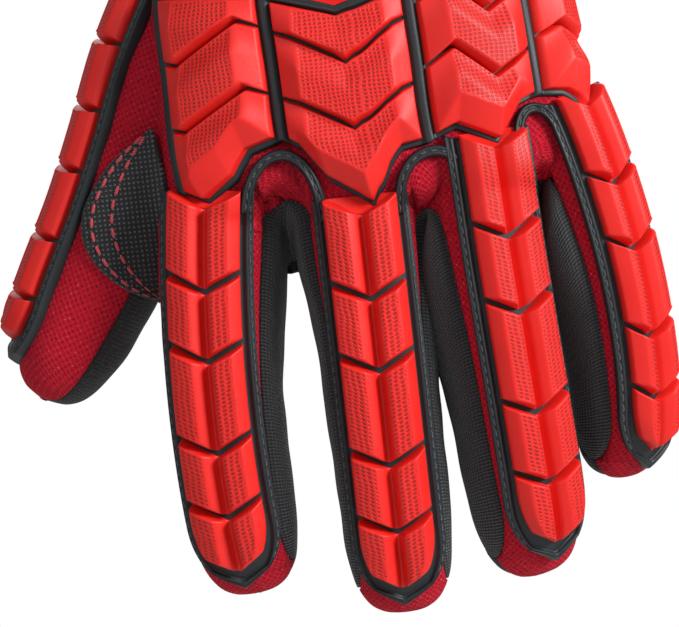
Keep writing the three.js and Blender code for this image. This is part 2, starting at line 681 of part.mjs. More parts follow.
function cuffWall() {
  const end = 1 - SEAM_GAP / CUFF_LENGTH;
  const past = CUFF_WALL / CUFF_LENGTH;
  const outer = solidOf(tube(cuffShape, [0, BINDING_SHARE, CUFF_WAIST.at, end], CUFF_SIDES, 0));
  const inner = solidOf(tube(cuffShape, [-past, BINDING_SHARE, CUFF_WAIST.at, 1 + past], CUFF_SIDES, -CUFF_WALL));
  return outer.subtract(inner);
}

function cuffBinding() {
  const past = BINDING_WALL / CUFF_LENGTH;
  const outer = solidOf(tube(cuffShape, [0, BINDING_SHARE], CUFF_SIDES, SEAM_GAP + BINDING_WALL));
  const inner = solidOf(tube(cuffShape, [-past, 0, BINDING_SHARE, BINDING_SHARE + past], CUFF_SIDES, SEAM_GAP));
  return outer.subtract(inner);
}

// What is moulded on the fabric lies on it: its underside is cut by the fabric's grown surface.
const UNDERSIDE = -2;
const FOOTPRINT_HEIGHT = 6;
const grownFabric = [handSolid(SEAM_GAP), thumbSolid(SEAM_GAP), ...fingers.map((finger) => fingerSolid(finger, SEAM_GAP))];
const onFabric = (geometry) => clearOf(solidOf(geometry), grownFabric);

// How far a guard narrows towards the fingertip, on an ellipse: 1 along most of its length.
const NARROW_FROM = 0.87;
const NARROWED_SHARE = 0.72; // of the half width's square that is gone at the tip

function guardNarrowing(share) {
  const past = Math.max(0, share - NARROW_FROM) / (1 - NARROW_FROM);
  return Math.sqrt(1 - NARROWED_SHARE * Math.min(past, 1) ** 2);
}

// A guard's base: a floor with a raised rim all round, over the back of a limb. Its ends hang in a
// shallow V, as its chevrons do.
const RIM_SLOPE_SIDES = 0.05; // a rim's inner slope, a share of the half width
const RIM_SLOPE_ENDS = 1.3; // where the slope ends at both ends, times RIM_WIDTH
const RIM_EDGE = 0.75; // the height of the rim's outer edge, a share of RIM_HEIGHT
const GUARD_BEND_AT = 0.45; // a row of points here lets the base follow the finger's curl

function guardBase(limb, span, halfWidth, drop) {
  const inside = 1 - RIM_WIDTH / halfWidth;
  const half = [0, inside - RIM_SLOPE_SIDES, inside, 1];
  const across = [...half.slice(1).map((v) => -v).reverse(), ...half];
  const rim = RIM_WIDTH / (limb.length * (span.end - span.start));
  const slope = rim * RIM_SLOPE_ENDS;
  const down = [0, rim, slope, GUARD_BEND_AT, NARROW_FROM, 1 - slope, 1 - rim, 1];
  const surface = (liftAt) =>
    down.map((share, row) =>
      across.map((side, column) => {
        const reach = halfWidth * guardNarrowing(share);
        const fall = (drop * (1 - Math.abs(side))) / limb.length;
        const place = span.start + share * (span.end - span.start) + fall;
        return coverPoint(limb, place, side * reach, liftAt(row, column));
      }),
    );
  const lastRow = down.length - 1;
  const lastColumn = across.length - 1;
  const topLift = (row, column) => {
    const edge = row === 0 || column === 0 || row === lastRow || column === lastColumn;
    const inRim = row <= 1 || column <= 1 || row >= lastRow - 1 || column >= lastColumn - 1;
    if (edge) return BASE_LIFT + RIM_HEIGHT * RIM_EDGE;
    return BASE_LIFT + (inRim ? RIM_HEIGHT : FLOOR_THICKNESS);
  };
  return pad(surface(topLift), surface(() => UNDERSIDE));
}

// A chevron row: two bevelled blocks joined under a shallow centre groove.
const CHEVRON_TOP_EDGE = 0.85; // the height of a row's upper edge, a share of BLOCK_HEIGHT
const BLOCK_INSET = 0.5; // from a rim's inner slope to the blocks, before the clearance

function chevronRow(limb, span, top, bottom, halfWidth, drop) {
  const right = [GROOVE_HALF_WIDTH, halfWidth - BLOCK_BEVEL, halfWidth];
  const across = [...right.map((v) => -v).reverse(), 0, ...right];
  const fall = (side) => (drop * (1 - Math.abs(side) / halfWidth)) / limb.length;
  const ends = [top, bottom - BLOCK_BEVEL / limb.length, bottom];
  const base = BASE_LIFT + FLOOR_THICKNESS + BLOCK_LIFT;
  const liftAt = (line, column) => {
    if (column === 0 || column === across.length - 1) return base + BLOCK_EDGE_HEIGHT;
    if (across[column] === 0) return base + GROOVE_HEIGHT;
    if (line === 0) return base + BLOCK_HEIGHT * CHEVRON_TOP_EDGE;
    return base + (line === 1 ? BLOCK_HEIGHT : BLOCK_EDGE_HEIGHT);
  };
  const surface = (lift) =>
    ends.map((end, line) => {
      const narrowing = guardNarrowing((end + RIM_WIDTH / limb.length - span.start) / (span.end - span.start));
      return across.map((side, column) => coverPoint(limb, end + fall(side), side * narrowing, lift(line, column)));
    });
  return pad(surface(liftAt), surface(() => base));
}

function guardRows(limb, span, halfWidth, rows, drop) {
  const length = span.end - span.start;
  const clear = (RIM_WIDTH * RIM_SLOPE_ENDS + RIM_CLEARANCE) / limb.length;
  const usable = length - 2 * clear;
  const gap = ROW_GAP / limb.length;
  const blocksHalfWidth = halfWidth - RIM_WIDTH - BLOCK_INSET - RIM_CLEARANCE;
  let top = span.start + clear;
  return rows.map((share) => {
    const bottom = top + share * usable - gap;
    const row = chevronRow(limb, span, top, bottom, blocksHalfWidth, drop);
    top = bottom + gap;
    return row;
  });
}

// The plate on the back of the hand
function plateLine(column, level) {
  const width = column.right - column.left;
  const across = (share) => (column.left + share * width) * KNUCKLE_WIDTH;
  if (level === 0 || level === 3) {
    const edge = (level === 0 ? PLATE_TOPS : PLATE_HEMS)[column.name];
    return edge.map((point) => ({ across: across(point.across), down: point.down }));
  }
  return PLATE_ZIGZAGS[column.name].map((point) => ({
    across: across(point.across),
    down: PLATE_LEVELS[column.name][level - 1] + (point.drop * PLATE_ZIGZAG) / HAND_LENGTH,
  }));
}

function downAt(line, across) {
  let k = 0;
  while (k < line.length - 2 && across > line[k + 1].across) k += 1;
  const share = (across - line[k].across) / (line[k + 1].across - line[k].across);
  return THREE.MathUtils.lerp(line[k].down, line[k + 1].down, THREE.MathUtils.clamp(share, 0, 1));
}

// The places across a column where the grid of a block or of the base has a line.
const GRID_MARGIN = 0.5;
const GRID_STEP = 1.2; // the least between two lines

function gridAcross(lines, left, right) {
  const inner = lines.flatMap((line) => line.slice(1, -1).map((point) => point.across));
  const spread = inner.filter((place) => place > left + GRID_MARGIN && place < right - GRID_MARGIN).sort((a, b) => a - b);
  return spread.filter((place, k) => k === 0 || place - spread[k - 1] > GRID_STEP);
}

// A block's slopes along its upper and lower edges, as shares of PLATE_BEVEL, and the most of the block
// that a slope may take.
const PLATE_SLOPES = { upper: 0.35, lower: 0.65, most: 0.8 };

function plateBlock(column, row) {
  const upper = plateLine(column, row);
  const lower = plateLine(column, row + 1);
  const left = upper[0].across + DIVIDER_HALF_WIDTH + BLOCK_INSET;
  const right = upper[upper.length - 1].across - DIVIDER_HALF_WIDTH - BLOCK_INSET;
  const inner = gridAcross([upper, lower], left + PLATE_BEVEL, right - PLATE_BEVEL);
  const columns = [left, left + PLATE_BEVEL, ...inner, right - PLATE_BEVEL, right];
  const gap = ROW_GAP / HAND_LENGTH / 2;
  const bevel = PLATE_BEVEL / HAND_LENGTH;
  const base = BASE_LIFT + FLOOR_THICKNESS + BLOCK_LIFT;
  const last = columns.length - 1;
  const surface = (liftAt) =>
    [0, 1, 2, 3].map((line) =>
      columns.map((across, k) => {
        const top = downAt(upper, across) + gap;
        const bottom = downAt(lower, across) - gap;
        const slope = Math.min(bevel, (bottom - top) * PLATE_SLOPES.most);
        const down = [top, top + slope * PLATE_SLOPES.upper, bottom - slope * PLATE_SLOPES.lower, bottom][line];
        return coverPoint(hand, down, across, liftAt(line, k));
      }),
    );
  const top = surface((line, k) => {
    const edge = line === 0 || line === 3 || k === 0 || k === last;
    return base + (edge ? PLATE_EDGE_HEIGHT : PLATE_BLOCK_HEIGHT);
  });
  return pad(top, surface(() => base));
}

// The plate's base: a floor with a ridge between columns and a rim all round. Grown, it is the tall
// footprint that its neighbours are cut by.
const RIDGE_TOP = 0.8; // the ridge's flat top, a share of its half width
const RIDGE_SLOPE = 0.2;
const PLATE_BEND_AT = 0.55; // rows of points here let the floor follow the knuckles

function plateBase(grow) {
  const half = DIVIDER_HALF_WIDTH;
  const spots = [];
  PLATE_COLUMNS.forEach((column, k) => {
    const left = column.left * KNUCKLE_WIDTH;
    const right = column.right * KNUCKLE_WIDTH;
    if (k === 0) spots.push({ across: left - half - grow, high: true });
    spots.push({ across: left + half * RIDGE_TOP, high: true, column });
    spots.push({ across: left + half + RIDGE_SLOPE, column });
    gridAcross([plateLine(column, 0), plateLine(column, 3)], left + half, right - half).forEach((across) =>
      spots.push({ across, column }),
    );
    spots.push({ across: right - half - RIDGE_SLOPE, column });
    spots.push({ across: right - half * RIDGE_TOP, high: true, column });
  });
  spots.push({ across: PLATE_COLUMNS[PLATE_COLUMNS.length - 1].right * KNUCKLE_WIDTH + half + grow, high: true });
  const lineAt = (spot, level) => {
    const fallback = spot.across < 0 ? PLATE_COLUMNS[0] : PLATE_COLUMNS[PLATE_COLUMNS.length - 1];
    return downAt(plateLine(spot.column ?? fallback, level), spot.across);
  };
  const rim = RIM_WIDTH / HAND_LENGTH;
  const rows = [
    { share: 0, past: -1, high: true },
    { share: 0, past: -0.15, high: true },
    { share: 0, past: 0 },
    { share: PLATE_BEND_AT, past: 0 },
    { share: 1, past: 0 },
    { share: 1, past: 0.15, high: true },
    { share: 1, past: 0.7, high: true },
  ];
  const surface = (liftAt) =>
    rows.map((row) =>
      spots.map((spot) => {
        const extra = row.past > 0 ? grow / HAND_LENGTH : 0;
        const place = THREE.MathUtils.lerp(lineAt(spot, 0), lineAt(spot, 3), row.share) + row.past * rim + extra;
        return coverPoint(hand, place, spot.across, liftAt(row, spot));
      }),
    );
  const top = surface((row, spot) => {
    if (grow > 0) return FOOTPRINT_HEIGHT;
    const raised = row.high || spot.high;
    return BASE_LIFT + FLOOR_THICKNESS + (raised ? DIVIDER_HEIGHT : 0);
  });
  return pad(top, surface(() => (grow > 0 ? -FOOTPRINT_HEIGHT : UNDERSIDE)));
}

// A web loop: a raised band that arches round the top of a web, from one finger guard to the next.
function webLoop(k, grow) {
  const [left, right] = pairs[k];
  const legAt = (finger, sideways) => {
    const reach = sideways * (finger.guard * GUARD_HALF_WIDTH - WEB_LOOP_WIDTH / 2);
    return backPoint(finger.limb, LOOP_LEG_AT, reach, 0).x - hand.section(WEB_LOOPS[k].foot).centre.x;
  };
  const from = legAt(left, 1);
  const to = legAt(right, -1);
  const middle = (from + to) / 2;
  const half = (to - from) / 2;
  const bands = [-0.5, 0, 0.5];
  const surface = (liftAt) =>
    Array.from({ length: LOOP_STEPS + 1 }, (_, step) =>
      bands.map((band, column) => {
        const angle = Math.PI * (1 - step / LOOP_STEPS);
        const isFoot = step === 0 || step === LOOP_STEPS;
        const foot = WEB_LOOPS[k].foot + (isFoot ? grow : 0) / HAND_LENGTH;
        const width = WEB_LOOP_WIDTH + 2 * grow;
        const rise = WEB_LOOPS[k].rise + (band * width) / HAND_LENGTH;
        const across = middle + (half + band * width) * Math.cos(angle);
        return coverPoint(hand, foot - rise * Math.sin(angle), across, liftAt(column));
      }),
    );
  const isEdge = (column) => column === 0 || column === bands.length - 1;
  if (grow > 0) return pad(surface(() => FOOTPRINT_HEIGHT), surface(() => -FOOTPRINT_HEIGHT));
  const top = surface((column) => BASE_LIFT + (isEdge(column) ? LOOP_EDGE : 1) * WEB_LOOP_HEIGHT);
  return pad(top, surface(() => UNDERSIDE));
}

// Assembly
const glove = new THREE.Group();
function place(name, geometry, finish) {
  const mesh = new THREE.Mesh(geometry, finish);
  mesh.name = name;
  glove.add(mesh);
}

place("back_panel", geometryOf(backPanel), crimsonMesh());
place("palm_panel", geometryOf(palmPanel), blackFabric());
pairs.forEach(([left, right], k) => {
  place(`fourchette_${left.name}_${right.name}`, geometryOf(fourchettes[k]), blackFabric());
});
place("thumb_back", geometryOf(thumbBack), crimsonMesh());
place("thumb_palm", geometryOf(thumbPalm), blackFabric());
place("thumb_patch", geometryOf(thumbPatch()), blackFabric());
place("cuff", geometryOf(cuffWall()), blackFabric());
place("cuff_binding", geometryOf(cuffBinding()), blackFabric());

const plateFootprint = solidOf(plateBase(SEAM_GAP));
const loopFootprints = pairs.map((_, k) => solidOf(webLoop(k, SEAM_GAP)));

// The same geometry moved out along a direction by the clearance under a block.
function raised(solid, direction) {
  const shift = direction.clone().multiplyScalar(SEAM_GAP);
  return solidOf(geometryOf(solid).translate(shift.x, shift.y, shift.z));
}

const plate = onFabric(plateBase(0));
place("plate_base", geometryOf(plate), blackRubber());
const PLATE_MIDDLE = 0.7; // the place down the hand that the plate's direction is taken at
const overPlate = [plate, raised(plate, hand.section(PLATE_MIDDLE).up)];
PLATE_COLUMNS.forEach((column) => {
  for (let row = 0; row < 3; row += 1) {
    const block = clearOf(onFabric(plateBlock(column, row)), overPlate);
    place(`plate_block_${column.name}_${row + 1}`, geometryOf(block), redRubber());
  }
});
pairs.forEach((_, k) => {
  const loop = clearOf(onFabric(webLoop(k, 0)), [plateFootprint, plate]);
  place(`web_loop_${k + 1}`, geometryOf(loop), blackRubber());
});

function placeGuard(name, limb, span, halfWidth, rows, drop, others) {
  const base = clearOf(onFabric(guardBase(limb, span, halfWidth, drop)), others);
  place(`${name}_guard`, geometryOf(base), blackRubber());
  const halfway = (span.start + span.end) / 2;
  const below = [base, raised(base, limb.section(halfway).up), ...others];
  guardRows(limb, span, halfWidth, rows, drop).forEach((row, k) => {
    place(`${name}_row_${k + 1}`, geometryOf(clearOf(onFabric(row), below)), redRubber());
  });
  return [base, solidOf(guardBase(limb, span, halfWidth + SEAM_GAP, drop))];
}

const neighbours = [plateFootprint, plate, ...loopFootprints];
fingers.forEach(({ name, limb, guard }) => {
  const halfWidth = guard * GUARD_HALF_WIDTH;
  neighbours.push(...placeGuard(name, limb, FINGER_GUARD_SPAN, halfWidth, FINGER_ROWS, CHEVRON_DROP, neighbours));
});
placeGuard("thumb", thumb, THUMB_GUARD_SPAN, GUARD_HALF_WIDTH, THUMB_ROWS, THUMB_CHEVRON_DROP, neighbours);

export default glove;
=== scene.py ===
# A left-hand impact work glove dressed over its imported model: knitted and woven panels, moulded guards
# and their stitches, filled as if worn, with the cuff up and the fingers down.
# The shape functions work in millimetres; pieces are written in metres.
import math

import bpy
import numpy as np
from bpy.props import FloatProperty, PointerProperty, StringProperty
from mathutils import Matrix


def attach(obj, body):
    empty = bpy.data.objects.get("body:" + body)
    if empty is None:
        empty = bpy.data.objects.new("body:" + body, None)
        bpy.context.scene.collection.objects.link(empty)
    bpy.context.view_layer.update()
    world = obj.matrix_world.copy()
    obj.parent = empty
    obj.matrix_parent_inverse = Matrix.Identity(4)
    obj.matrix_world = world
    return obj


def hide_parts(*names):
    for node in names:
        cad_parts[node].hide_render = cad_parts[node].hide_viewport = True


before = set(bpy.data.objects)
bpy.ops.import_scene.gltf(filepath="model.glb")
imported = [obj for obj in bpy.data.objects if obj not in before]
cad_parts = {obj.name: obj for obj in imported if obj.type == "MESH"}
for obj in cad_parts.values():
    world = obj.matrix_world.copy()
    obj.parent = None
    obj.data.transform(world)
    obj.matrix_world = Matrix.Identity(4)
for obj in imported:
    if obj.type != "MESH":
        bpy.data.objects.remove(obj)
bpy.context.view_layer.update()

bl_info = {
    "name": "Impact Glove",
    "version": (1, 0, 0),
    "blender": (4, 5, 0),
    "location": "View3D > Sidebar > Glove",
    "description": "Dresses the packed glove in cloth, moulded rubber and thread",
    "category": "Object",
}

MM = 0.001

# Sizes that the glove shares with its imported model, in millimetres
CUFF_LENGTH = 56.0
CUFF_WIDTH = 94.0
CUFF_DEPTH = 66.0
HAND_LENGTH = 104.0
KNUCKLE_WIDTH = 100.0
HAND_DEPTH = 42.0
FINGER_LENGTH = 95.0
FINGER_WIDTH = 26.0
FINGER_DEPTH = 25.0
FINGER_CURL = 12.0
THUMB_LENGTH = 105.0
THUMB_WIDTH = 28.0
THUMB_DEPTH = 30.0
THUMB_LEAN = math.radians(33)
THUMB_ROLL = math.radians(8)
THUMB_TIP_DEEP = 0.06
SEAM_Z = -CUFF_LENGTH
WEB_Z = SEAM_Z - HAND_LENGTH
HAND_ROUNDNESS = 2.5
LIMB_ROUNDNESS = 2.3

# Moulded parts, in millimetres
GUARD_HALF_WIDTH = 10.0
RIM_WIDTH = 2.2
RIM_HEIGHT = 2.3
FLOOR_THICKNESS = 1.1
BLOCK_HEIGHT = 3.9
BLOCK_EDGE_HEIGHT = 1.7
BLOCK_BEVEL = 2.7
ROW_GAP = 1.2
PLATE_ROW_GAP = 0.7
CHEVRON_DROP = 4.2
THUMB_CHEVRON_DROP = 2.5
BASE_LIFT = 0.5
PLATE_BLOCK_HEIGHT = 4.9
PLATE_EDGE_HEIGHT = 1.7
PLATE_BEVEL = 4.8
LAST_ROW_BEVEL = 0.5
DIVIDER_HALF_WIDTH = 1.1
HEM_BORDER = 1.1
DIVIDER_HEIGHT = 2.0
WEB_LOOP_WIDTH = 2.6
WEB_LOOP_HEIGHT = 2.2
LOOP_ROWS = 61
GROOVE_HALF_WIDTH = 1.0
GROOVE_HEIGHT = 0.1
INNER_BEVEL = 1.9
LOWER_BEVEL = 1.1
FIRST_ROW_RISE = 2.8
EDGE_ROUND = 0.45
SURFACE_BLEND = 1.5
BLOCK_CLEARANCE = 0.5
ROW_CLEARANCE = 0.9
BLOCK_SEAT = 0.1
BLOCK_ROOT = 0.3
BASE_ROOT = 0.6
PLATE_STEP = 0.42
ROW_STEP = 0.4
FLAT_BEVEL = 1.0
FLAT_INNER_BEVEL = 0.6
UPPER_BEVEL = 0.5
SHINGLE_DROP = 0.38
SHINGLE_REACH = 7.0
RIM_GROOVE_DEPTH = 0.45
RIM_GROOVE_WIDTH = 0.38
GUARD_TIP_NARROWING = 0.72

# Cloth, in millimetres, with angles in degrees round a limb from the middle of its back
SEAM_TUCK = 0.9
ROOT_TUCK = 0.7
FOURCHETTE_ANGLE = 38
ROOT_NARROWING = 11.0
SIDE_SEAM = 96
THUMB_SEAM = 112
STRIP_END = 0.93
STRIP_CLOSES = 0.12
STRIP_FOOT = 5.0
WEB_SWELL = 2.2
WEB_TOPS = [-154.6, -160.1, -156.1]
WEB_DEPTH = 15.0
BEND_LENGTH = 2.6
LEG_ROWS = 74
STRIP_COLUMNS = 31
FINGER_COLUMNS = 49
HAND_COLUMNS = 221
HAND_OVERLAP = (-0.3, 0.5)
PATCH_SIDE = 61
PATCH_LIFT = 1.1
PATCH_FAR_DEPTH = 22.0
CUFF_GIRTH = 250.0
CUFF_RIBS = 60
CUFF_RIB_HEIGHT = 0.25

# Cloth as it is cut, in metres: width and length
PANEL_CUT = (0.26, 0.21)
FOURCHETTE_CUT = (0.022, 0.215)
THUMB_BACK_CUT = (0.075, 0.115)
THUMB_PALM_CUT = (0.05, 0.115)
PATCH_CUT = (0.03, 0.055)

# Sections of the hand, a finger and the thumb: shares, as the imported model's
HAND_SECTIONS = {
    "at": [0.0, 0.25, 0.5, 0.68, 0.83, 0.96, 1.01],
    "centre": [-0.02, -0.03, -0.05, -0.045, -0.04, -0.02, -0.01],
    "width": [0.38, 0.435, 0.445, 0.455, 0.465, 0.46, 0.4],
    "rise": [0.05, 0.04, 0.0, -0.02, -0.06, -0.13, -0.14],
    "depth": [0.6, 0.56, 0.51, 0.48, 0.43, 0.35, 0.17],
}
FINGER_SECTIONS = {
    "at": [-0.34, -0.05, 0.3, 0.6, 0.78, 0.89, 0.95, 0.985, 1.0],
    "width": [0.6, 1.0, 1.01, 0.99, 0.95, 0.87, 0.72, 0.45, 0.02],
    "depth": [0.6, 1.0, 1.0, 0.97, 0.92, 0.82, 0.66, 0.4, 0.02],
}
THUMB_SECTIONS = {
    "at": [0.0, 0.25, 0.45, 0.6, 0.76, 0.88, 0.95, 0.985, 1.0],
    "width": [1.05, 1.05, 1.02, 1.0, 0.95, 0.86, 0.68, 0.42, 0.02],
    "depth": [1.5, 1.38, 1.13, 0.97, 0.87, 0.76, 0.6, 0.36, 0.02],
}
THUMB_ROOT = (-0.27 * KNUCKLE_WIDTH, 0.14 * HAND_DEPTH, SEAM_Z - 0.47 * HAND_LENGTH)
FINGERS = {
    "index": dict(root=-0.38, tip=-0.4, rise=-0.075, web=0.096, length=0.968, size=1.0, bow=-0.12, roll=-11,
                  curl=0.9, guard=1.0),
    "middle": dict(root=-0.07, tip=-0.07, rise=-0.165, web=0.05, length=1.0, size=1.0, bow=0.0, roll=-1,
                   curl=1.0, guard=1.0),
    "ring": dict(root=0.17, tip=0.235, rise=-0.17, web=0.154, length=1.063, size=1.0, bow=-0.02, roll=24,
                 curl=1.0, guard=0.97),
    "little": dict(root=0.355, tip=0.45, rise=-0.08, web=0.2, length=0.905, size=0.87, bow=0.18, roll=38,
                   curl=1.1, guard=0.82),
}
FINGER_ROWS = [0.197, 0.193, 0.257, 0.183, 0.17]
THUMB_ROWS = [0.19, 0.18, 0.165, 0.19, 0.165, 0.11]
FINGER_GUARD_SPAN = (0.005, 0.91)
THUMB_GUARD_SPAN = (0.05, 0.93)
NARROW_FROM = 0.87

# The plate: columns as shares of the knuckle width, and its lines as (across a column, down the hand)
PLATE_COLUMNS = {
    "index": (-0.425, -0.178),
    "middle": (-0.178, 0.126),
    "ring": (0.126, 0.38),
    "little": (0.38, 0.56),
}
PLATE_ZIGZAG = 8.2
PLATE_ZIGZAGS = {
    "index": [(0, 0.8), (0.2, 1), (0.78, 0), (1, 0.3)],
    "middle": [(0, 0), (0.18, 0.3), (0.52, 1.1), (0.86, 0.2), (1, 0)],
    "ring": [(0, 0.6), (0.28, 0), (0.6, 0.9), (1, 0.1)],
    "little": [(0, 0.4), (0.35, 0), (0.7, 0.4), (1, 0.8)],
}
PLATE_LEVELS = {
    "index": [0.564, 0.707],
    "middle": [0.591, 0.731],
    "ring": [0.529, 0.668],
    "little": [0.49, 0.638],
}
PLATE_TOPS = {
    "index": [(0, 0.49), (1, 0.52)],
    "middle": [(0, 0.525), (0.5, 0.575), (1, 0.53)],
    "ring": [(0, 0.43), (0.6, 0.4), (1, 0.4)],
    "little": [(0, 0.375), (1, 0.4)],
}
PLATE_HEMS = {
    "index": [(0, 0.903), (0.22, 0.933), (0.5, 0.89), (0.68, 0.838), (1, 0.816)],
    "middle": [
        (0, 0.816), (0.12, 0.842), (0.25, 0.915), (0.52, 0.978), (0.68, 0.9), (0.8, 0.866), (1, 0.857),
    ],
    "ring": [(0, 0.857), (0.25, 0.833), (0.57, 0.875), (0.8, 0.8), (1, 0.78)],
    "little": [(0, 0.78), (0.4, 0.785), (1, 0.83)],
}
LOOP_TOPS = [-143.8, -147.6, -140.6]
PATCH_OUTLINE = [(-0.235, 0.29), (-0.34, 0.35), (-0.42, 0.46), (-0.4, 0.56), (-0.31, 0.645), (-0.25, 0.655)]


# Shape functions
def look_up(table, at, column):
    """A table's column at places: the cubic through each pair of rows, with slopes from their neighbours."""
    places = np.asarray(table["at"], float)
    values = np.asarray(table[column], float)
    row = np.clip(np.searchsorted(places, at, side="left") - 1, 0, len(places) - 2)
    before, after = np.maximum(row - 1, 0), np.minimum(row + 2, len(places) - 1)
    span = places[row + 1] - places[row]
    share = np.clip((at - places[row]) / span, 0, 1)
    slope_from = span * (values[row + 1] - values[before]) / (places[row + 1] - places[before])
    slope_to = span * (values[after] - values[row]) / (places[after] - places[row])
    square, cube = share**2, share**3
    return (
        (2 * cube - 3 * square + 1) * values[row]
        + (cube - 2 * square + share) * slope_from
        + (3 * square - 2 * cube) * values[row + 1]
        + (cube - square) * slope_to
    )


def unit(vectors):
    """Vectors divided by their own length."""
    return vectors / np.linalg.norm(vectors, axis=-1, keepdims=True)


class Limb:
    """A finger or the thumb: a path with a superellipse section whose half sizes come from a table."""

    def __init__(self, path, back, table, half_width, half_depth, length, power):
        self.path, self.back, self.table = path, np.asarray(back, float), table
        self.half_width, self.half_depth = half_width, half_depth
        self.length, self.power = length, power
        self.top = path(np.zeros(1))[0]

    def section(self, at):
        """Centre, up and side axes and half sizes at places: up is the back direction squared to the path."""
        step = 0.01
        along = unit(self.path(at + step) - self.path(at - step))
        up = unit(self.back - along * (along @ self.back)[..., None])
        side = np.cross(up, along)
        width = look_up(self.table, at, "width") * self.half_width
        depth = look_up(self.table, at, "depth") * self.half_depth
        return self.path(at), up, side, width, depth

    def place_at(self, z):
        """The place along the limb at a height, taken along its straight chord."""
        end = self.path(np.ones(1))[0]
        return (self.top[2] - z) / (self.top[2] - end[2])

    def skin(self, at, angle, lift=0.0):
        """Centre plus side by width by sine, plus up by depth by cosine, both to the section's power."""
        at, angle, lift = np.broadcast_arrays(np.asarray(at, float), angle, lift)
        centre, up, side, width, depth = self.section(at)
        sine, cosine = np.sin(angle), np.cos(angle)
        across = np.maximum(width + lift, 0.05) * np.sign(sine) * np.abs(sine) ** (2 / self.power)
        out = np.maximum(depth + lift, 0.05) * np.sign(cosine) * np.abs(cosine) ** (2 / self.power)
        return centre + side * across[..., None] + up * out[..., None]

    def angle_across(self, at, across):
        """The angle whose arc from the middle of the back, walked in small steps, has the length across."""
        steps = np.linspace(0, 0.75 * math.pi, 41)
        walk = self.skin(at[..., None], steps)
        strides = np.linalg.norm(np.diff(walk, axis=-2), axis=-1)
        walked = np.concatenate([np.zeros_like(strides[..., :1]), np.cumsum(strides, axis=-1)], axis=-1)
        distance = np.minimum(np.abs(across), walked[..., -1] * 0.999)
        k = np.clip((walked < distance[..., None]).sum(-1) - 1, 0, len(steps) - 2)
        low = np.take_along_axis(walked, k[..., None], -1)[..., 0]
        high = np.take_along_axis(walked, k[..., None] + 1, -1)[..., 0]
        return np.sign(across) * (k + (distance - low) / (high - low)) * (steps[1] - steps[0])

    def reached(self, points, at):
        """How far out points lie at their places: 1 on the surface and less inside, with their centres."""
        centre, up, side, width, depth = self.section(at)
        offset = points - centre
        across = np.abs((offset * side).sum(-1) / width) ** self.power
        out = np.abs((offset * up).sum(-1) / depth) ** self.power
        return (across + out) ** (1 / self.power), centre, offset


class Hand(Limb):
    """The hand: its sections stay level and face the back, however its path shifts."""

    def section(self, at):
        """Centre, up and side axes and half sizes at places."""
        shape = np.shape(at)
        up = np.broadcast_to([0.0, -1.0, 0.0], shape + (3,))
        side = np.broadcast_to([1.0, 0.0, 0.0], shape + (3,))
        width = look_up(self.table, at, "width") * self.half_width
        depth = look_up(self.table, at, "depth") * self.half_depth
        return self.path(at), up, side, width, depth


def hand_limb():
    """The hand: its path runs straight down, shifted across and in depth by its table."""

    def path(at):
        x = look_up(HAND_SECTIONS, at, "centre") * KNUCKLE_WIDTH
        y = look_up(HAND_SECTIONS, at, "rise") * HAND_DEPTH
        return np.stack([x, y, SEAM_Z - at * HAND_LENGTH], -1)

    return Hand(path, (0, -1, 0), HAND_SECTIONS, KNUCKLE_WIDTH, HAND_DEPTH, HAND_LENGTH, HAND_ROUNDNESS)


def finger_limb(finger):
    """A finger: straight down from its web, with a sideways bow and a curl that grow past the web."""
    length = finger["length"] * FINGER_LENGTH
    top = WEB_Z + finger["web"] * HAND_LENGTH

    def path(at):
        bend = np.maximum(at, 0)
        x = (finger["root"] + (finger["tip"] - finger["root"]) * at) * KNUCKLE_WIDTH
        x = x + 4 * bend * (1 - bend) * finger["bow"] * FINGER_WIDTH
        y = finger["rise"] * HAND_DEPTH + finger["curl"] * FINGER_CURL * bend**2
        return np.stack([x, y, top - at * length], -1)

    roll = math.radians(finger["roll"])
    back = (math.sin(roll), -math.cos(roll), 0)
    half_width, half_depth = finger["size"] * FINGER_WIDTH / 2, finger["size"] * FINGER_DEPTH / 2
    return Limb(path, back, FINGER_SECTIONS, half_width, half_depth, length, LIMB_ROUNDNESS)


def thumb_limb():
    """The thumb: straight from its root, leaning away from the hand."""
    reach = np.array([-math.sin(THUMB_LEAN), THUMB_TIP_DEEP, -math.cos(THUMB_LEAN)])

    def path(at):
        return np.asarray(THUMB_ROOT) + np.asarray(at)[..., None] * reach * THUMB_LENGTH

    back = (-math.cos(THUMB_ROLL), -math.sin(THUMB_ROLL), 0)
    half_width, half_depth = THUMB_WIDTH / 2, THUMB_DEPTH / 2
    return Limb(path, back, THUMB_SECTIONS, half_width, half_depth, THUMB_LENGTH, LIMB_ROUNDNESS)


HAND = hand_limb()
LIMBS = {name: finger_limb(finger) for name, finger in FINGERS.items()}
THUMB = thumb_limb()


def smooth_step(low, high, value):
    """0 below low, 1 above high, and a smooth rise between."""
    share = np.clip((value - low) / (high - low), 0, 1)
    return share * share * (3 - 2 * share)


def cubic(start, first, last, end, t):
    """A cubic curve at shares t, from its two ends and the two points that draw it out."""
    return (1 - t) ** 3 * start + 3 * t * (1 - t) ** 2 * first + 3 * t**2 * (1 - t) * last + t**3 * end


def run_along(path):
    """How far along a path each of its points lies."""
    return np.concatenate([[0], np.cumsum(np.linalg.norm(np.diff(path, axis=0), axis=-1))])


def grid_runs(points, axis):
    """How far along its own row or column each point of a grid lies."""
    steps = np.linalg.norm(np.diff(points, axis=axis), axis=-1)
    return np.concatenate([np.zeros_like(np.take(steps, [0], axis)), np.cumsum(steps, axis)], axis)


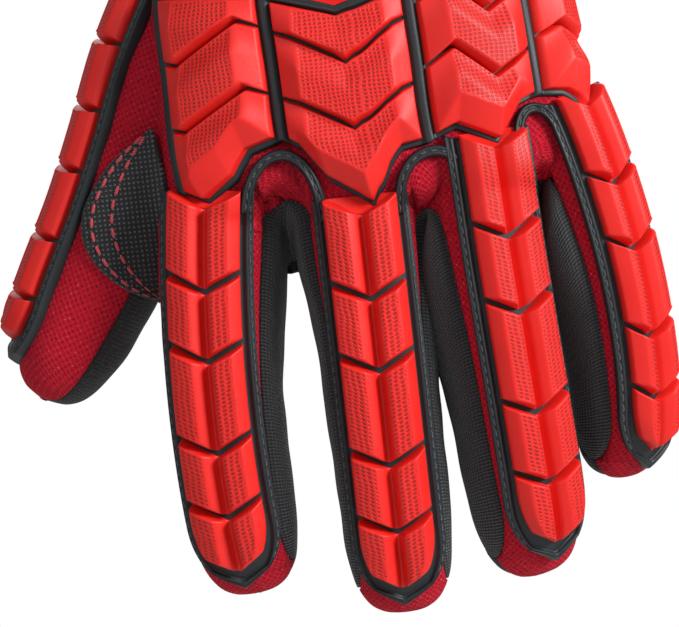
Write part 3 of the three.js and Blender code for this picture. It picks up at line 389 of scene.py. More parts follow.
def pushed_out(points, limb):
    """Points inside a finger are moved away from its centre line to just over its surface."""
    low, high = HAND_OVERLAP
    at = limb.place_at(points[..., 2])
    size, centre, offset = limb.reached(points, at)
    fade = smooth_step(low, low + 0.12, at) * (at <= high)
    growth = 1 + ((1 + np.maximum(size, 0.3) ** -10.0) ** 0.1 - 1) * fade
    return centre + offset * growth[..., None]


def march(x, z):
    """Points in rows through the glove from its back to its palm, and their depths."""
    depths = np.linspace(-36, 24, 121)
    return np.stack(np.broadcast_arrays(x[..., None], depths, z[..., None]), -1), depths


def first_met(size, depths):
    """The depth where each row first comes inside, between two of its points, or nothing where none does."""
    first = np.maximum(np.argmax(size <= 1, axis=-1), 1)
    now = np.take_along_axis(size, first[..., None], -1)[..., 0]
    before = np.take_along_axis(size, first[..., None] - 1, -1)[..., 0]
    share = np.clip((before - 1) / np.maximum(before - now, 1e-6), 0, 1)
    depth = depths[first - 1] + share * (depths[1] - depths[0])
    return np.where((size <= 1).any(-1), depth, np.nan)


def front_depth(x, z, limbs):
    """The frontmost depth of some limbs at places seen from the back of the hand."""
    points, depths = march(x, z)
    outside = 9.0
    size = np.full(points.shape[:-1], outside)
    for limb in limbs:
        at = limb.place_at(points[..., 2])
        own = limb.reached(points, at)[0]
        size = np.minimum(size, np.where((at > HAND_OVERLAP[0]) & (at < 1.0), own, outside))
    return first_met(size, depths)


def cover(limb, at, across, *lifts):
    """Points across the back of a limb, brought to the front of its neighbours there and lifted off it."""
    at, across = np.broadcast_arrays(np.asarray(at, float), across)
    angle = limb.angle_across(at, across)
    skin = limb.skin(at, angle)
    normal = unit(limb.skin(at, angle, 1.0) - skin)
    if limb is not THUMB:
        others = list(LIMBS.values()) if limb is HAND else [HAND]
        front = front_depth(skin[..., 0], skin[..., 2], others)
        front = np.where(np.isnan(front), skin[..., 1] + 20, front)
        nearest = np.minimum(skin[..., 1], front)
        gap = np.abs(skin[..., 1] - front)
        skin[..., 1] = nearest - np.log1p(np.exp(-SURFACE_BLEND * gap)) / SURFACE_BLEND
    lifted = [skin + normal * np.broadcast_to(lift, at.shape)[..., None] for lift in lifts]
    return lifted[0] if len(lifted) == 1 else lifted


# Mesh functions
def grid_faces(rows, columns, flip=False, wrap=False):
    """Four corners of each cell of a grid of vertices, counted row by row."""
    wide = columns if wrap else columns - 1
    r, c = np.meshgrid(np.arange(rows - 1), np.arange(wide), indexing="ij")
    following = (c + 1) % columns
    here, below = r * columns, (r + 1) * columns
    corners = np.stack([here + c, here + following, below + following, below + c], -1)
    corners = corners.reshape(-1, 4)
    return corners[:, ::-1] if flip else corners


def make_piece(name, parts, material, nodes=()):
    """An object on the glove's one body, from parts of points, uv, quads, loose polygons and pit marks."""
    mesh = bpy.data.meshes.new(name)
    points = np.concatenate([part[0].reshape(-1, 3) for part in parts]) * MM
    uv = np.concatenate([part[1].reshape(-1, 2) for part in parts])
    starts = np.cumsum([0] + [part[0].size // 3 for part in parts[:-1]])
    quads = np.concatenate([part[2] + start for part, start in zip(parts, starts)])
    extra = [np.asarray(face) + start for part, start in zip(parts, starts) for face in part[3]]
    loops = np.concatenate([quads.ravel(), *extra]).astype(np.int32)
    sizes = np.array([4] * len(quads) + [len(face) for face in extra], np.int32)
    mesh.vertices.add(len(points))
    mesh.vertices.foreach_set("co", points.astype(np.float32).ravel())
    mesh.loops.add(len(loops))
    mesh.loops.foreach_set("vertex_index", loops)
    mesh.polygons.add(len(sizes))
    mesh.polygons.foreach_set("loop_start", np.concatenate([[0], np.cumsum(sizes)[:-1]]).astype(np.int32))
    mesh.polygons.foreach_set("use_smooth", np.ones(len(sizes), bool))
    mesh.update(calc_edges=True)
    mesh.validate()
    layer = mesh.uv_layers.new(name="Surface")
    index = np.zeros(len(mesh.loops), np.int32)
    mesh.loops.foreach_get("vertex_index", index)
    layer.data.foreach_set("uv", uv[index].astype(np.float32).ravel())
    marks = [np.ravel(part[4]) if len(part) > 4 else np.zeros(part[0].size // 3) for part in parts]
    textured = mesh.attributes.new("Textured", "FLOAT", "POINT")
    textured.data.foreach_set("value", np.concatenate(marks).astype(np.float32))
    mesh.materials.append(bpy.data.materials[material])
    piece = bpy.data.objects.new(name, mesh)
    bpy.context.scene.collection.objects.link(piece)
    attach(piece, "root")
    if nodes:
        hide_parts(*nodes)
    return piece


def open_part(points, uv, flip=False):
    """A grid of points as one open surface."""
    rows, columns = points.shape[:2]
    return points, uv, grid_faces(rows, columns, flip=flip), []


def pad_part(points, under, uv, textured=0.0):
    """A closed pad: a fine top, walls down to the underside's outline, and a floor of one strip."""
    rows, columns = points.shape[:2]
    across, down = np.arange(columns), np.arange(rows)
    ring_r = np.concatenate([0 * across, down[1:], np.full(columns - 1, rows - 1), down[-2:0:-1]])
    ring_c = np.concatenate([across, np.full(rows - 1, columns - 1), across[-2::-1], 0 * down[2:]])
    top_ring = ring_r * columns + ring_c
    ground = rows * columns
    below = ground + np.arange(len(top_ring))
    walls = np.stack([top_ring, np.roll(top_ring, -1), np.roll(below, -1), below], -1)
    left = ground + (-down) % len(top_ring)
    right = ground + (columns - 1) + down
    floor = np.stack([left[:-1], right[:-1], right[1:], left[1:]], -1)
    first = ground + across
    last = ground + (columns - 1 + rows - 1) + across
    quads = np.concatenate([grid_faces(rows, columns, flip=True), walls, floor])
    all_points = np.concatenate([points.reshape(-1, 3), under[ring_r, ring_c]])
    all_uv = np.concatenate([uv.reshape(-1, 2), uv[ring_r, ring_c]])
    mask = np.concatenate([np.broadcast_to(textured, points.shape[:2]).ravel(), np.zeros(len(below))])
    return all_points, all_uv, quads, [first, last], mask


def even(low, high, step):
    """Places from low to high, spaced by about step."""
    return np.linspace(low, high, max(2, int(round((high - low) / step)) + 1))


def edged(length, step):
    """Places along a length in mm, close together over the rounded edge at both ends."""
    edge = np.array([0, 0.04, 0.13, 0.28, 0.45, 0.7])
    return np.concatenate([edge, even(0.7 + step, length - 0.7 - step, step), length - edge[::-1]])


def rounded(distance):
    """A quarter circle over the rounded edge: 0 at the edge, 1 past it."""
    share = np.clip(1 - distance / EDGE_ROUND, 0, 1)
    return np.sqrt(np.maximum(1 - share**2, 0))


def soft_least(*values):
    """The least of some values, with the crease between them eased."""
    sharpness = 34.0
    total = sum(np.exp(-sharpness * value) for value in values)
    return -np.log(total) / sharpness


# Moulded pieces
def line_at(line, share):
    """A plate line's place down the hand at shares across its column."""
    return np.interp(share, [point[0] for point in line], [point[1] for point in line])


def plate_line(name, level, share):
    """The plate's top edge, its two zigzags and its hem in one column, by level from 0 to 3."""
    if level == 0:
        return line_at(PLATE_TOPS[name], share)
    if level == 3:
        return line_at(PLATE_HEMS[name], share)
    return PLATE_LEVELS[name][level - 1] + line_at(PLATE_ZIGZAGS[name], share) * PLATE_ZIGZAG / HAND_LENGTH


def plate_block(name, row, relief):
    """A block of the plate: broad bevels along its sides, narrow ones at its ends and an embossed top."""
    left, right = (edge * KNUCKLE_WIDTH for edge in PLATE_COLUMNS[name])
    clear = DIVIDER_HALF_WIDTH + BLOCK_CLEARANCE
    wide = right - left - 2 * clear
    offset = edged(wide, PLATE_STEP)
    across = left + clear + offset
    share = (across - left) / (right - left)
    top = plate_line(name, row, share) * HAND_LENGTH + PLATE_ROW_GAP / 2
    bottom = plate_line(name, row + 1, share) * HAND_LENGTH - PLATE_ROW_GAP / 2
    typical = 20.0
    long = np.mean(bottom - top)
    down_share = edged(typical, PLATE_STEP * typical / long) / typical
    down = top + down_share[:, None] * (bottom - top)
    side = np.minimum(offset, wide - offset)[None, :] + 0 * down
    upper, lower = down - top, bottom - down
    lower_bevel = LAST_ROW_BEVEL * long if row == 2 else LOWER_BEVEL
    slope = np.clip(soft_least(side / PLATE_BEVEL, lower / lower_bevel, np.ones_like(down)), 0, 1)
    shingle = 1 - SHINGLE_DROP * (1 - smooth_step(0, SHINGLE_REACH, upper))
    height = PLATE_EDGE_HEIGHT + (PLATE_BLOCK_HEIGHT * shingle - PLATE_EDGE_HEIGHT) * slope
    flat = smooth_step(PLATE_BEVEL, PLATE_BEVEL * 1.06, side) * smooth_step(0.5, 0.9, upper)
    flat = flat * smooth_step(lower_bevel, lower_bevel + 0.4, lower)
    uv = np.stack(np.broadcast_arrays(across[None, :], down), -1)
    height = height - relief * flat
    base = BASE_LIFT + FLOOR_THICKNESS + BLOCK_SEAT
    lift = base + height * rounded(np.minimum(side, np.minimum(upper, lower)))
    points, under = cover(HAND, down / HAND_LENGTH, across[None, :], lift, base - BLOCK_ROOT)
    return pad_part(points, under, uv, flat)


def rim_height(distance):
    """The rim's section: a rounded ridge with a shallow groove for its stitches, then the floor."""
    edge = np.sqrt(np.clip(1 - np.clip(1 - distance / 0.8, 0, 1) ** 2, 0, 1))
    inner = 1 - smooth_step(RIM_WIDTH - 0.5, RIM_WIDTH + 0.15, distance)
    groove = RIM_GROOVE_DEPTH * np.exp(-(((distance - RIM_WIDTH / 2) / RIM_GROOVE_WIDTH) ** 2))
    return edge * (FLOOR_THICKNESS + (RIM_HEIGHT - FLOOR_THICKNESS) * inner) - groove * inner


def plate_base():
    """The plate's base: a floor with a ridge between columns and a grooved rim along its outline."""
    half = DIVIDER_HALF_WIDTH
    low = PLATE_COLUMNS["index"][0] * KNUCKLE_WIDTH - half
    high = PLATE_COLUMNS["little"][1] * KNUCKLE_WIDTH + half
    across = even(low, high, 0.45)
    top, bottom = np.zeros(len(across)), np.zeros(len(across))
    ridge = np.zeros(len(across))
    names = list(PLATE_COLUMNS)
    for name in names:
        left, right = (edge * KNUCKLE_WIDTH for edge in PLATE_COLUMNS[name])
        share = (across - left) / (right - left)
        mine = ((share >= 0) | (name == names[0])) & ((share <= 1) | (name == names[-1]))
        top[mine] = plate_line(name, 0, np.clip(share, 0, 1))[mine] * HAND_LENGTH
        bottom[mine] = plate_line(name, 3, np.clip(share, 0, 1))[mine] * HAND_LENGTH
        for line in (left, right):
            ridge = np.maximum(ridge, 1 - smooth_step(half * 0.6, half * 1.3, np.abs(across - line)))
    top, bottom = top - RIM_WIDTH, bottom + HEM_BORDER
    down_share = np.concatenate([np.linspace(0, 0.06, 9), even(0.075, 0.925, 0.011), np.linspace(0.94, 1, 9)])
    down = top + down_share[:, None] * (bottom - top)
    side = np.minimum(across - low, high - across)[None, :] + 0 * down
    distance = np.minimum(side, down - top)
    edge = np.minimum(distance, bottom - down)
    height = np.maximum(rim_height(distance), FLOOR_THICKNESS + ridge[None, :] * DIVIDER_HEIGHT * 0.5)
    lift = BASE_LIFT + height * rounded(edge)
    uv = np.stack(np.broadcast_arrays(across[None, :], down), -1)
    points, under = cover(HAND, down / HAND_LENGTH, across[None, :], lift, -BASE_ROOT)
    return pad_part(points, under, uv)


def narrowing(share):
    """A guard's half width by its length: 1, then a quarter of an ellipse towards the fingertip."""
    past = np.clip((share - NARROW_FROM) / (1 - NARROW_FROM), 0, 1)
    return np.sqrt(1 - GUARD_TIP_NARROWING * past**2)


def guard_base(limb, span, half_width, drop):
    """A guard's floor and stitched rim: its ends hang in a shallow V and it narrows at the tip."""
    long = limb.length * (span[1] - span[0])
    down_share = edged(long, 0.7) / long
    close = np.linspace(0, 3.2, 13) / long
    down_share = np.unique(np.concatenate([down_share, close, 1 - close]))
    edge = np.concatenate([np.linspace(0, 3.0, 13), even(3.6, half_width, 0.8)])
    side = np.concatenate([edge / half_width, 2 - edge[-2::-1] / half_width]) - 1
    reach = half_width * narrowing(down_share)[:, None]
    fall = drop * (1 - np.abs(side))[None, :] / limb.length
    at = span[0] + down_share[:, None] * (span[1] - span[0]) + fall
    across = side[None, :] * reach
    foot = (1 - down_share)[:, None] * long
    ends = np.minimum(down_share[:, None] * long, foot)
    distance = np.minimum(reach - np.abs(across), foot)
    lift = BASE_LIFT + rim_height(distance) * rounded(ends)
    uv = np.stack(np.broadcast_arrays(across, at * limb.length), -1)
    points, under = cover(limb, at, across, lift, -BASE_ROOT)
    return pad_part(points, under, uv)


def chevron_row(limb, span, top, bottom, half_width, drop, relief, lean):
    """A row of a guard: two blocks in a V beside a centre groove, with broad bevels on the leaning side."""
    offset = edged(2 * half_width, ROW_STEP)
    side = offset - half_width
    long = (bottom - top) * limb.length
    down = edged(long, ROW_STEP)
    fall = drop * (1 - np.abs(side) / half_width)
    at = top + (down[:, None] + fall[None, :]) / limb.length
    share = (top + down / limb.length + RIM_WIDTH / limb.length - span[0]) / (span[1] - span[0])
    reach = half_width * narrowing(share)[:, None]
    across = side[None, :] / half_width * reach
    edge = reach - np.abs(across)
    inner = np.abs(across) - GROOVE_HALF_WIDTH * 0.55
    upper, lower = down[:, None] + 0 * across, long - down[:, None] + 0 * across
    leaning = across * lean > 0
    outer = edge / np.where(leaning, BLOCK_BEVEL, FLAT_BEVEL)
    inmost = inner / np.where(leaning, FLAT_INNER_BEVEL, INNER_BEVEL)
    facets = soft_least(outer, inmost, upper / UPPER_BEVEL, lower / LOWER_BEVEL, np.ones_like(across))
    slope = np.clip(facets, 0, 1)
    height = BLOCK_EDGE_HEIGHT + (BLOCK_HEIGHT - BLOCK_EDGE_HEIGHT) * slope
    flat = smooth_step(1.0, 1.1, np.minimum(outer, inmost))
    flat = flat * smooth_step(0.5, 0.8, upper) * smooth_step(LOWER_BEVEL, LOWER_BEVEL + 0.3, lower)
    height = height - relief * flat
    height = GROOVE_HEIGHT + (height - GROOVE_HEIGHT) * smooth_step(-0.35, 0.25, inner)
    base = BASE_LIFT + FLOOR_THICKNESS + BLOCK_SEAT
    lift = base + height * rounded(np.minimum(edge, np.minimum(upper, lower)))
    uv = np.stack(np.broadcast_arrays(across, down[:, None]), -1)
    points, under = cover(limb, at, across, lift, base - BLOCK_ROOT)
    return pad_part(points, under, uv, flat)


def row_spans(limb, span, rows):
    """Where each row of a guard begins and ends, as places along its limb."""
    clear = (RIM_WIDTH * 1.3 + 0.4) / limb.length
    usable = span[1] - span[0] - 2 * clear
    starts = span[0] + clear + np.concatenate([[0], np.cumsum(rows)[:-1]]) * usable
    return [(start, start + share * usable - ROW_GAP / limb.length) for start, share in zip(starts, rows)]


def loop_legs(k):
    """Where a loop leaves one guard's border and meets the next one's, and the way up along each."""
    names = list(FINGERS)
    ends, ways = [], []
    for name, sideways in ((names[k], 1), (names[k + 1], -1)):
        limb = LIMBS[name]
        across = sideways * (FINGERS[name]["guard"] * GUARD_HALF_WIDTH - RIM_WIDTH / 2)
        low, high = (cover(limb, np.array([at]), np.array([across]), 0.0)[0] for at in (0.06, 0.02))
        ends.append(low)
        ways.append(unit(high - low))
    return ends, ways


def loop_path(k, count):
    """A loop's centre line: a cubic between its two legs, rising from both, laid on the glove's front."""
    (start, end), (up_start, up_end) = loop_legs(k)
    top = LOOP_TOPS[k]
    t = np.linspace(0, 1, count)[:, None]
    first = start + up_start * (top - start[2]) * 4 / 3
    last = end + up_end * (top - end[2]) * 4 / 3
    return cubic(start, first, last, end, t)


def on_front(x, z, k):
    """Places laid on the front of the hand and of the two fingers beside a web, with the creases filled."""
    names = list(FINGERS)
    depth = front_depth(x, z, [HAND, LIMBS[names[k]], LIMBS[names[k + 1]]])
    return np.where(np.isnan(depth), np.nanmax(depth), depth)


def loop_band(k, count, band):
    """Places across a loop's width, square to its centre line, with their depth eased along the loop."""
    line = loop_path(k, count)
    ahead = np.gradient(line[:, [0, 2]], axis=0)
    normal = unit(np.stack([-ahead[:, 1], ahead[:, 0]], -1))
    x = line[:, :1] + normal[:, :1] * band * WEB_LOOP_WIDTH
    z = line[:, 2:] + normal[:, 1:] * band * WEB_LOOP_WIDTH
    depth = on_front(x, z, k).mean(1)
    depth = np.minimum(depth, np.convolve(np.pad(depth, 4, mode="edge"), np.ones(9) / 9, "valid"))
    return np.stack([x, np.broadcast_to(depth[:, None], x.shape), z], -1)


def web_loop(k):
    """A web loop: a half-round band with a stitched groove, carried along the loop's centre line."""
    band = np.linspace(-0.5, 0.5, 21)[None, :]
    places = loop_band(k, LOOP_ROWS, band)
    groove = 0.4 * np.exp(-((band * WEB_LOOP_WIDTH / 0.4) ** 2))
    height = WEB_LOOP_HEIGHT * np.sqrt(np.maximum(1 - (2 * band) ** 4, 0)) - groove
    height = np.broadcast_to(height, places.shape[:2])
    uv = np.stack(np.broadcast_arrays(band * WEB_LOOP_WIDTH, np.linspace(0, 30, LOOP_ROWS)[:, None]), -1)
    out = np.array([0.0, -1.0, 0.0])
    points = places + out * (BASE_LIFT + 0.25 + height)[..., None]
    return pad_part(points, places - out * 0.8, uv)


# Cloth pieces
def wrinkles(points, depth):
    """Shallow folds: two crossing sine waves of different pitch over the surface's place, in mm."""
    x, y, z = points[..., 0], points[..., 1], points[..., 2]
    long = np.sin(z * 0.16 + x * 0.05) * np.sin(x * 0.11 - y * 0.09)
    short = np.sin(z * 0.43 - y * 0.21 + 1.3) * np.sin(x * 0.19 + z * 0.06)
    return depth * (0.65 * long + 0.35 * short)


def limb_cloth(limb, at, low, high, columns, depth):
    """A panel of a limb between two angles: its surface with shallow folds, tucked in along its seams."""
    share = np.linspace(0, 1, columns)[None, :]
    at = (at if at.ndim == 2 else at[:, None]) + 0 * share
    angle = np.radians(low + (high - low) * share + 0 * at)
    plain = limb.skin(at, angle)
    across, along = grid_runs(plain, 1), grid_runs(plain, 0)
    from_seam = np.minimum(across, across[:, -1:] - across)
    taper = smooth_step(0.0, 0.5, 1 - np.abs(2 * share - 1))
    lift = wrinkles(plain, depth) * taper - SEAM_TUCK * np.exp(-from_seam / SEAM_TUCK)
    if limb in LIMBS.values():
        lift = lift - ROOT_TUCK * (1 - smooth_step(-0.04, 0.07, at))
    uv = np.stack([across - across.mean(1, keepdims=True), along.mean(1, keepdims=True) + 0 * across], -1)
    return limb.skin(at, angle, lift), uv


def tip_places(start, step):
    """Places along a finger from start to its tip, closer together where the tip closes."""
    closing = 0.14
    close = closing * (1 - np.linspace(0, 1, 26)[1:]) ** 1.6
    return np.concatenate([even(start, 1 - closing, step), 1 - close])


def strip_seam(at, side):
    """The angle from a side strip's middle to a seam: less at the finger's root, and closing at the tip."""
    past = np.clip((at - STRIP_END + STRIP_CLOSES) / STRIP_CLOSES, 0, 1)
    root = ROOT_NARROWING * (1 - smooth_step(0.05, 0.55, at)) if side == "back" else 0.0
    return (FOURCHETTE_ANGLE - root) * np.sqrt(1 - past**2)


def finger_angles(name, side, at):
    """The angles that a finger's back or palm takes between its seams, place by place along the finger."""
    seam = strip_seam(at, side)[:, None]
    if side == "back":
        low, high = seam - 90, 90 - seam
        return (-SIDE_SEAM if name == "index" else low, SIDE_SEAM if name == "little" else high)
    low, high = 90 + seam, 270 - seam
    return (SIDE_SEAM if name == "little" else low, 360 - SIDE_SEAM if name == "index" else high)


def web_edges(side):
    """The strips' front or back edges over the three webs, as one line of places from left to right."""
    column = 0 if side == "back" else -1
    return [fourchette(k, 0.0)[0][LEG_ROWS - 1 : -LEG_ROWS + 1, column] for k in range(3)]


def hand_cloth(side, depth):
    """The hand's back or palm: the limb's surface down to the webs, where it bends in to the side strips."""
    low, high = (-SIDE_SEAM, SIDE_SEAM) if side == "back" else (SIDE_SEAM, 360 - SIDE_SEAM)
    angle = np.radians(np.linspace(low, high, HAND_COLUMNS))
    arches = web_edges(side)
    line = np.concatenate(arches)
    last = np.full(HAND_COLUMNS, 0.93)
    for _ in range(3):
        last = HAND.place_at(np.interp(HAND.skin(last, angle)[:, 0], line[:, 0], line[:, 2]))
    share = np.concatenate([even(0, 0.88, 0.011), np.linspace(0.88, 1, 22)[1:]])
    points, uv = limb_cloth(HAND, share[:, None] * last[None, :], low, high, HAND_COLUMNS, depth)
    if side == "back":
        for limb in LIMBS.values():
            points = pushed_out(points, limb)
    edge = points[-1].copy()
    above = points[..., 2] - edge[:, 2]
    rise = np.interp(edge[:, 0], line[:, 0], line[:, 2]) - edge[:, 2]
    inwards = np.zeros(HAND_COLUMNS)
    for arch in arches:
        over = smooth_step(0, 1.0, np.minimum(edge[:, 0] - arch[0, 0], arch[-1, 0] - edge[:, 0]))
        inwards += over * (np.interp(edge[:, 0], arch[:, 0], arch[:, 1]) - edge[:, 1])
    near = np.exp(-((above / (BEND_LENGTH + np.abs(rise))) ** 2))
    points[..., 1] += inwards * near
    points[..., 2] += rise * near
    return points, uv


def fourchette(k, depth):
    """A side strip down one finger, over the web and up the next: across it, the angle round each finger."""
    names = list(FINGERS)
    left, right = LIMBS[names[k]], LIMBS[names[k + 1]]
    share = np.linspace(-1, 1, STRIP_COLUMNS)[None, :]
    peak = WEB_TOPS[k] - WEB_DEPTH * smooth_step(0, 1, (share[0] + 1) / 2)
    from_seam = 1 - np.abs(share)
    tuck = -SEAM_TUCK * np.exp(-from_seam / 0.12)
    legs = []
    for limb, middle, way in ((left, math.pi / 2, 1), (right, -math.pi / 2, -1)):
        foot = np.maximum(limb.place_at(peak - STRIP_FOOT), 0.02)
        climb = np.sin(np.linspace(0, math.pi / 2, LEG_ROWS))[:, None] ** 1.5
        down = STRIP_END + climb * (foot - STRIP_END)
        seam = np.where(share < 0, strip_seam(down, "back"), strip_seam(down, "palm"))
        angle = middle + way * np.radians(seam * share)
        plain = limb.skin(down, angle)
        folds = wrinkles(plain, depth * 0.6) + WEB_SWELL * (1 - smooth_step(foot, foot + 0.3, down))
        folds = folds * (1 - np.exp(-from_seam / 0.24))
        legs.append(limb.skin(down, angle, tuck + folds))
    one, two = legs[0], legs[1][::-1]
    start, end = one[-1], two[0]
    t = np.linspace(0, 1, 26)[1:-1, None, None]
    first, last = start.copy(), end.copy()
    first[:, 2] += (peak - start[:, 2]) * 4 / 3
    last[:, 2] += (peak - end[:, 2]) * 4 / 3
    points = np.concatenate([one, cubic(start, first, last, end, t), two])
    width, along = grid_runs(points, 1), grid_runs(points, 0)
    uv = np.stack([width, along.mean(1, keepdims=True) + 0 * width], -1)
    return points, uv


def crotch_depth(x, z, lift):
    """The front of the thumb and hand, grown by a lift and blended where they meet, or far back past both."""
    points, depths = march(x, z)
    reach = THUMB.path(np.ones(1))[0] - THUMB.top
    thumb_at = ((points - THUMB.top) @ reach) / (reach @ reach)
    hand = HAND.reached(points, HAND.place_at(points[..., 2]))[0]
    thumb = THUMB.reached(points, thumb_at)[0]
    growth = lift / (THUMB_WIDTH / 2)
    sharpness = 9
    joined = -np.log(np.exp(-sharpness * hand) + np.exp(-sharpness * thumb)) / sharpness - growth
    depth = first_met(joined, depths)
    return np.where(np.isnan(depth), PATCH_FAR_DEPTH, depth)


def patch_outline():
    """The patch's curved outer edge and its nearly straight inner edge, both from the top corner down."""
    outline = np.array(PATCH_OUTLINE) * THUMB_LENGTH
    x, z = THUMB_ROOT[0] + outline[:, 0], THUMB_ROOT[2] - outline[:, 1]
    run = run_along(np.stack([x, z], -1))
    places = np.linspace(0, run[-1], PATCH_SIDE)
    window = np.ones(13) / 13
    outer = []
    for values in (x, z):
        padded = np.pad(np.interp(places, run, values), len(window) // 2, mode="edge")
        outer.append(np.convolve(padded, window, "valid"))
    inner = [np.linspace(values[0], values[-1], PATCH_SIDE) for values in (x, z)]
    inner[0] = inner[0] + 2.5 * np.sin(np.linspace(0, math.pi, PATCH_SIDE))
    return np.array(outer), np.array(inner)


def patch_point(share_in, share_down, lift):
    """Points of the patch: straight across from its outer edge to its inner one, laid on the glove."""
    outer, inner = patch_outline()
    places = np.linspace(0, 1, outer.shape[1])
    edge = [np.interp(share_down, places, v) for v in outer]
    far = [np.interp(share_down, places, v) for v in inner]
    x = edge[0] + (far[0] - edge[0]) * share_in
    z = edge[1] + (far[1] - edge[1]) * share_in
    y = crotch_depth(x, z, 0.6) - lift
    return np.stack([x, y, z], -1)


def cuff_ring(share, angle, lift):
    """The cuff's wall: a superellipse from the opening to the wrist, through one waist between them."""
    wrist, _, _, width, depth = (v[0] for v in HAND.section(np.zeros(1)))
    rows = {
        "at": [0, 0.7, 1],
        "width": [CUFF_WIDTH / 2, width * 1.04, width],
        "depth": [CUFF_DEPTH / 2, depth * 1.05, depth],
        "x": [0, wrist[0], wrist[0]],
        "y": [0, wrist[1], wrist[1]],
    }
    half_width, half_depth = look_up(rows, share, "width") + lift, look_up(rows, share, "depth") + lift
    sine, cosine = np.sin(angle), np.cos(angle)
    power = 2 / LIMB_ROUNDNESS
    x = look_up(rows, share, "x") + half_width * np.sign(sine) * np.abs(sine) ** power
    y = look_up(rows, share, "y") - half_depth * np.sign(cosine) * np.abs(cosine) ** power
    return np.stack([x, y, -share * CUFF_LENGTH], -1)


def closed_wall(outer, inner):
    """A tube's wall: its outer rings down, then its inner rings back up, closed round both edges."""
    points = np.concatenate([outer, inner[::-1]])
    rows, columns = points.shape[:2]
    faces = grid_faces(rows, columns, wrap=True)
    last = (rows - 1) * columns + np.arange(columns)
    first = np.arange(columns)
    rim = np.stack([last, np.roll(last, -1), np.roll(first, -1), first], -1)
    return points, np.concatenate([faces, rim])


# Thread
def stitches(path, up, pitch, length, thick):
    """Stitches along a path: a small spindle for each, turned to the path and bent onto the surface."""
    run = run_along(path)

    def at_places(places, values):
        return np.stack([np.interp(places, run, values[:, k]) for k in range(3)], -1)

    places = np.arange(pitch / 2, run[-1], pitch)
    centre = at_places(places, path)
    near = 0.3
    along = unit(at_places(places + near, path) - at_places(places - near, path))
    out = unit(at_places(places, up))
    side = np.cross(along, out)
    rings, sides = 7, 6
    t, turn = np.meshgrid(
        np.linspace(-1, 1, rings), np.arange(sides) * 2 * math.pi / sides, indexing="ij"
    )
    girth = np.sqrt(1 - (0.96 * t) ** 4) * thick
    local = [t * length / 2, girth * np.cos(turn), girth * np.sin(turn) - 0.35 * thick * t**2]
    points = centre[:, None, None] + sum(
        axis[:, None, None] * part[None, ..., None] for axis, part in zip((along, side, out), local)
    )
    starts = np.arange(len(points)) * rings * sides
    quads = grid_faces(rings, sides, flip=True, wrap=True)[None] + starts[:, None, None]
    near_end = np.arange(sides)
    far_end = (rings * sides - 1) - near_end
    ends = [near_end + start for start in starts] + [far_end + start for start in starts]
    uv = np.stack(np.broadcast_arrays(t * length / 2, turn / 3), -1)
    uv = np.broadcast_to(uv, points.shape[:3] + (2,))
    return points, uv, quads.reshape(-1, 4), ends


def surface_stitches(limb, at, across, lift, pitch, length, thick):
    """Stitches along a line on a limb's back, standing off along the surface's own direction."""
    path, above = cover(limb, at, across, lift, lift + 1.0)
    return stitches(path, above - path, pitch, length, thick)


# Materials
def linear(code):
    """An sRGB hex colour such as C81430 as linear red, green, blue and full alpha."""
    value = np.array([int(code[k : k + 2], 16) / 255 for k in (0, 2, 4)])
    value = np.where(value <= 0.04045, value / 12.92, ((value + 0.055) / 1.055) ** 2.4)
    return (*value.tolist(), 1.0)


def add_node(tree, kind, settings=None, inputs=None):
    """A node with its settings, and its inputs set to values or linked to sockets."""
    node = tree.nodes.new(kind)
    for name, value in (settings or {}).items():
        setattr(node, name, value)
    for name, value in (inputs or {}).items():
        if isinstance(value, bpy.types.NodeSocket):
            tree.links.new(value, node.inputs[name])
        else:
            node.inputs[name].default_value = value
    return node


def combined(tree, operation, *values):
    """The result of a sum on values or sockets."""
    return add_node(tree, "ShaderNodeMath", {"operation": operation}, dict(enumerate(values))).outputs[0]


def stretched(tree, value, low, high, to_low=0.0, to_high=1.0):
    """A value moved from one range to another, held at its ends."""
    limits = {"Value": value, "From Min": low, "From Max": high, "To Min": to_low, "To Max": to_high}
    return add_node(tree, "ShaderNodeMapRange", inputs=limits).outputs[0]


def new_material(name, shader_inputs):
    """An empty material with one Principled shader and its constants, and the piece's own mm coordinates."""
    material = bpy.data.materials.new(name)
    material.use_nodes = True
    tree = material.node_tree
    tree.nodes.clear()
    shader = add_node(tree, "ShaderNodeBsdfPrincipled", inputs=shader_inputs)
    add_node(tree, "ShaderNodeOutputMaterial", inputs={"Surface": shader.outputs["BSDF"]})
    place = add_node(tree, "ShaderNodeUVMap", {"uv_map": "Surface"}).outputs["UV"]
    return tree, shader, place


def finish_colour(tree, shader, height, distance, colours, strength=1.0):
    """Colour by a ramp over the pattern's height, and a bump of that height in millimetres."""
    ramp = add_node(tree, "ShaderNodeValToRGB", inputs={"Fac": height})
    for k, (position, colour) in enumerate(colours):
        element = ramp.color_ramp.elements[k] if k < 2 else ramp.color_ramp.elements.new(position)
        element.position = position
        element.color = linear(colour)
    tree.links.new(ramp.outputs["Color"], shader.inputs["Base Color"])
    relief = {"Height": height, "Distance": distance * MM, "Strength": strength}
    bump = add_node(tree, "ShaderNodeBump", inputs=relief)
    tree.links.new(bump.outputs["Normal"], shader.inputs["Normal"])


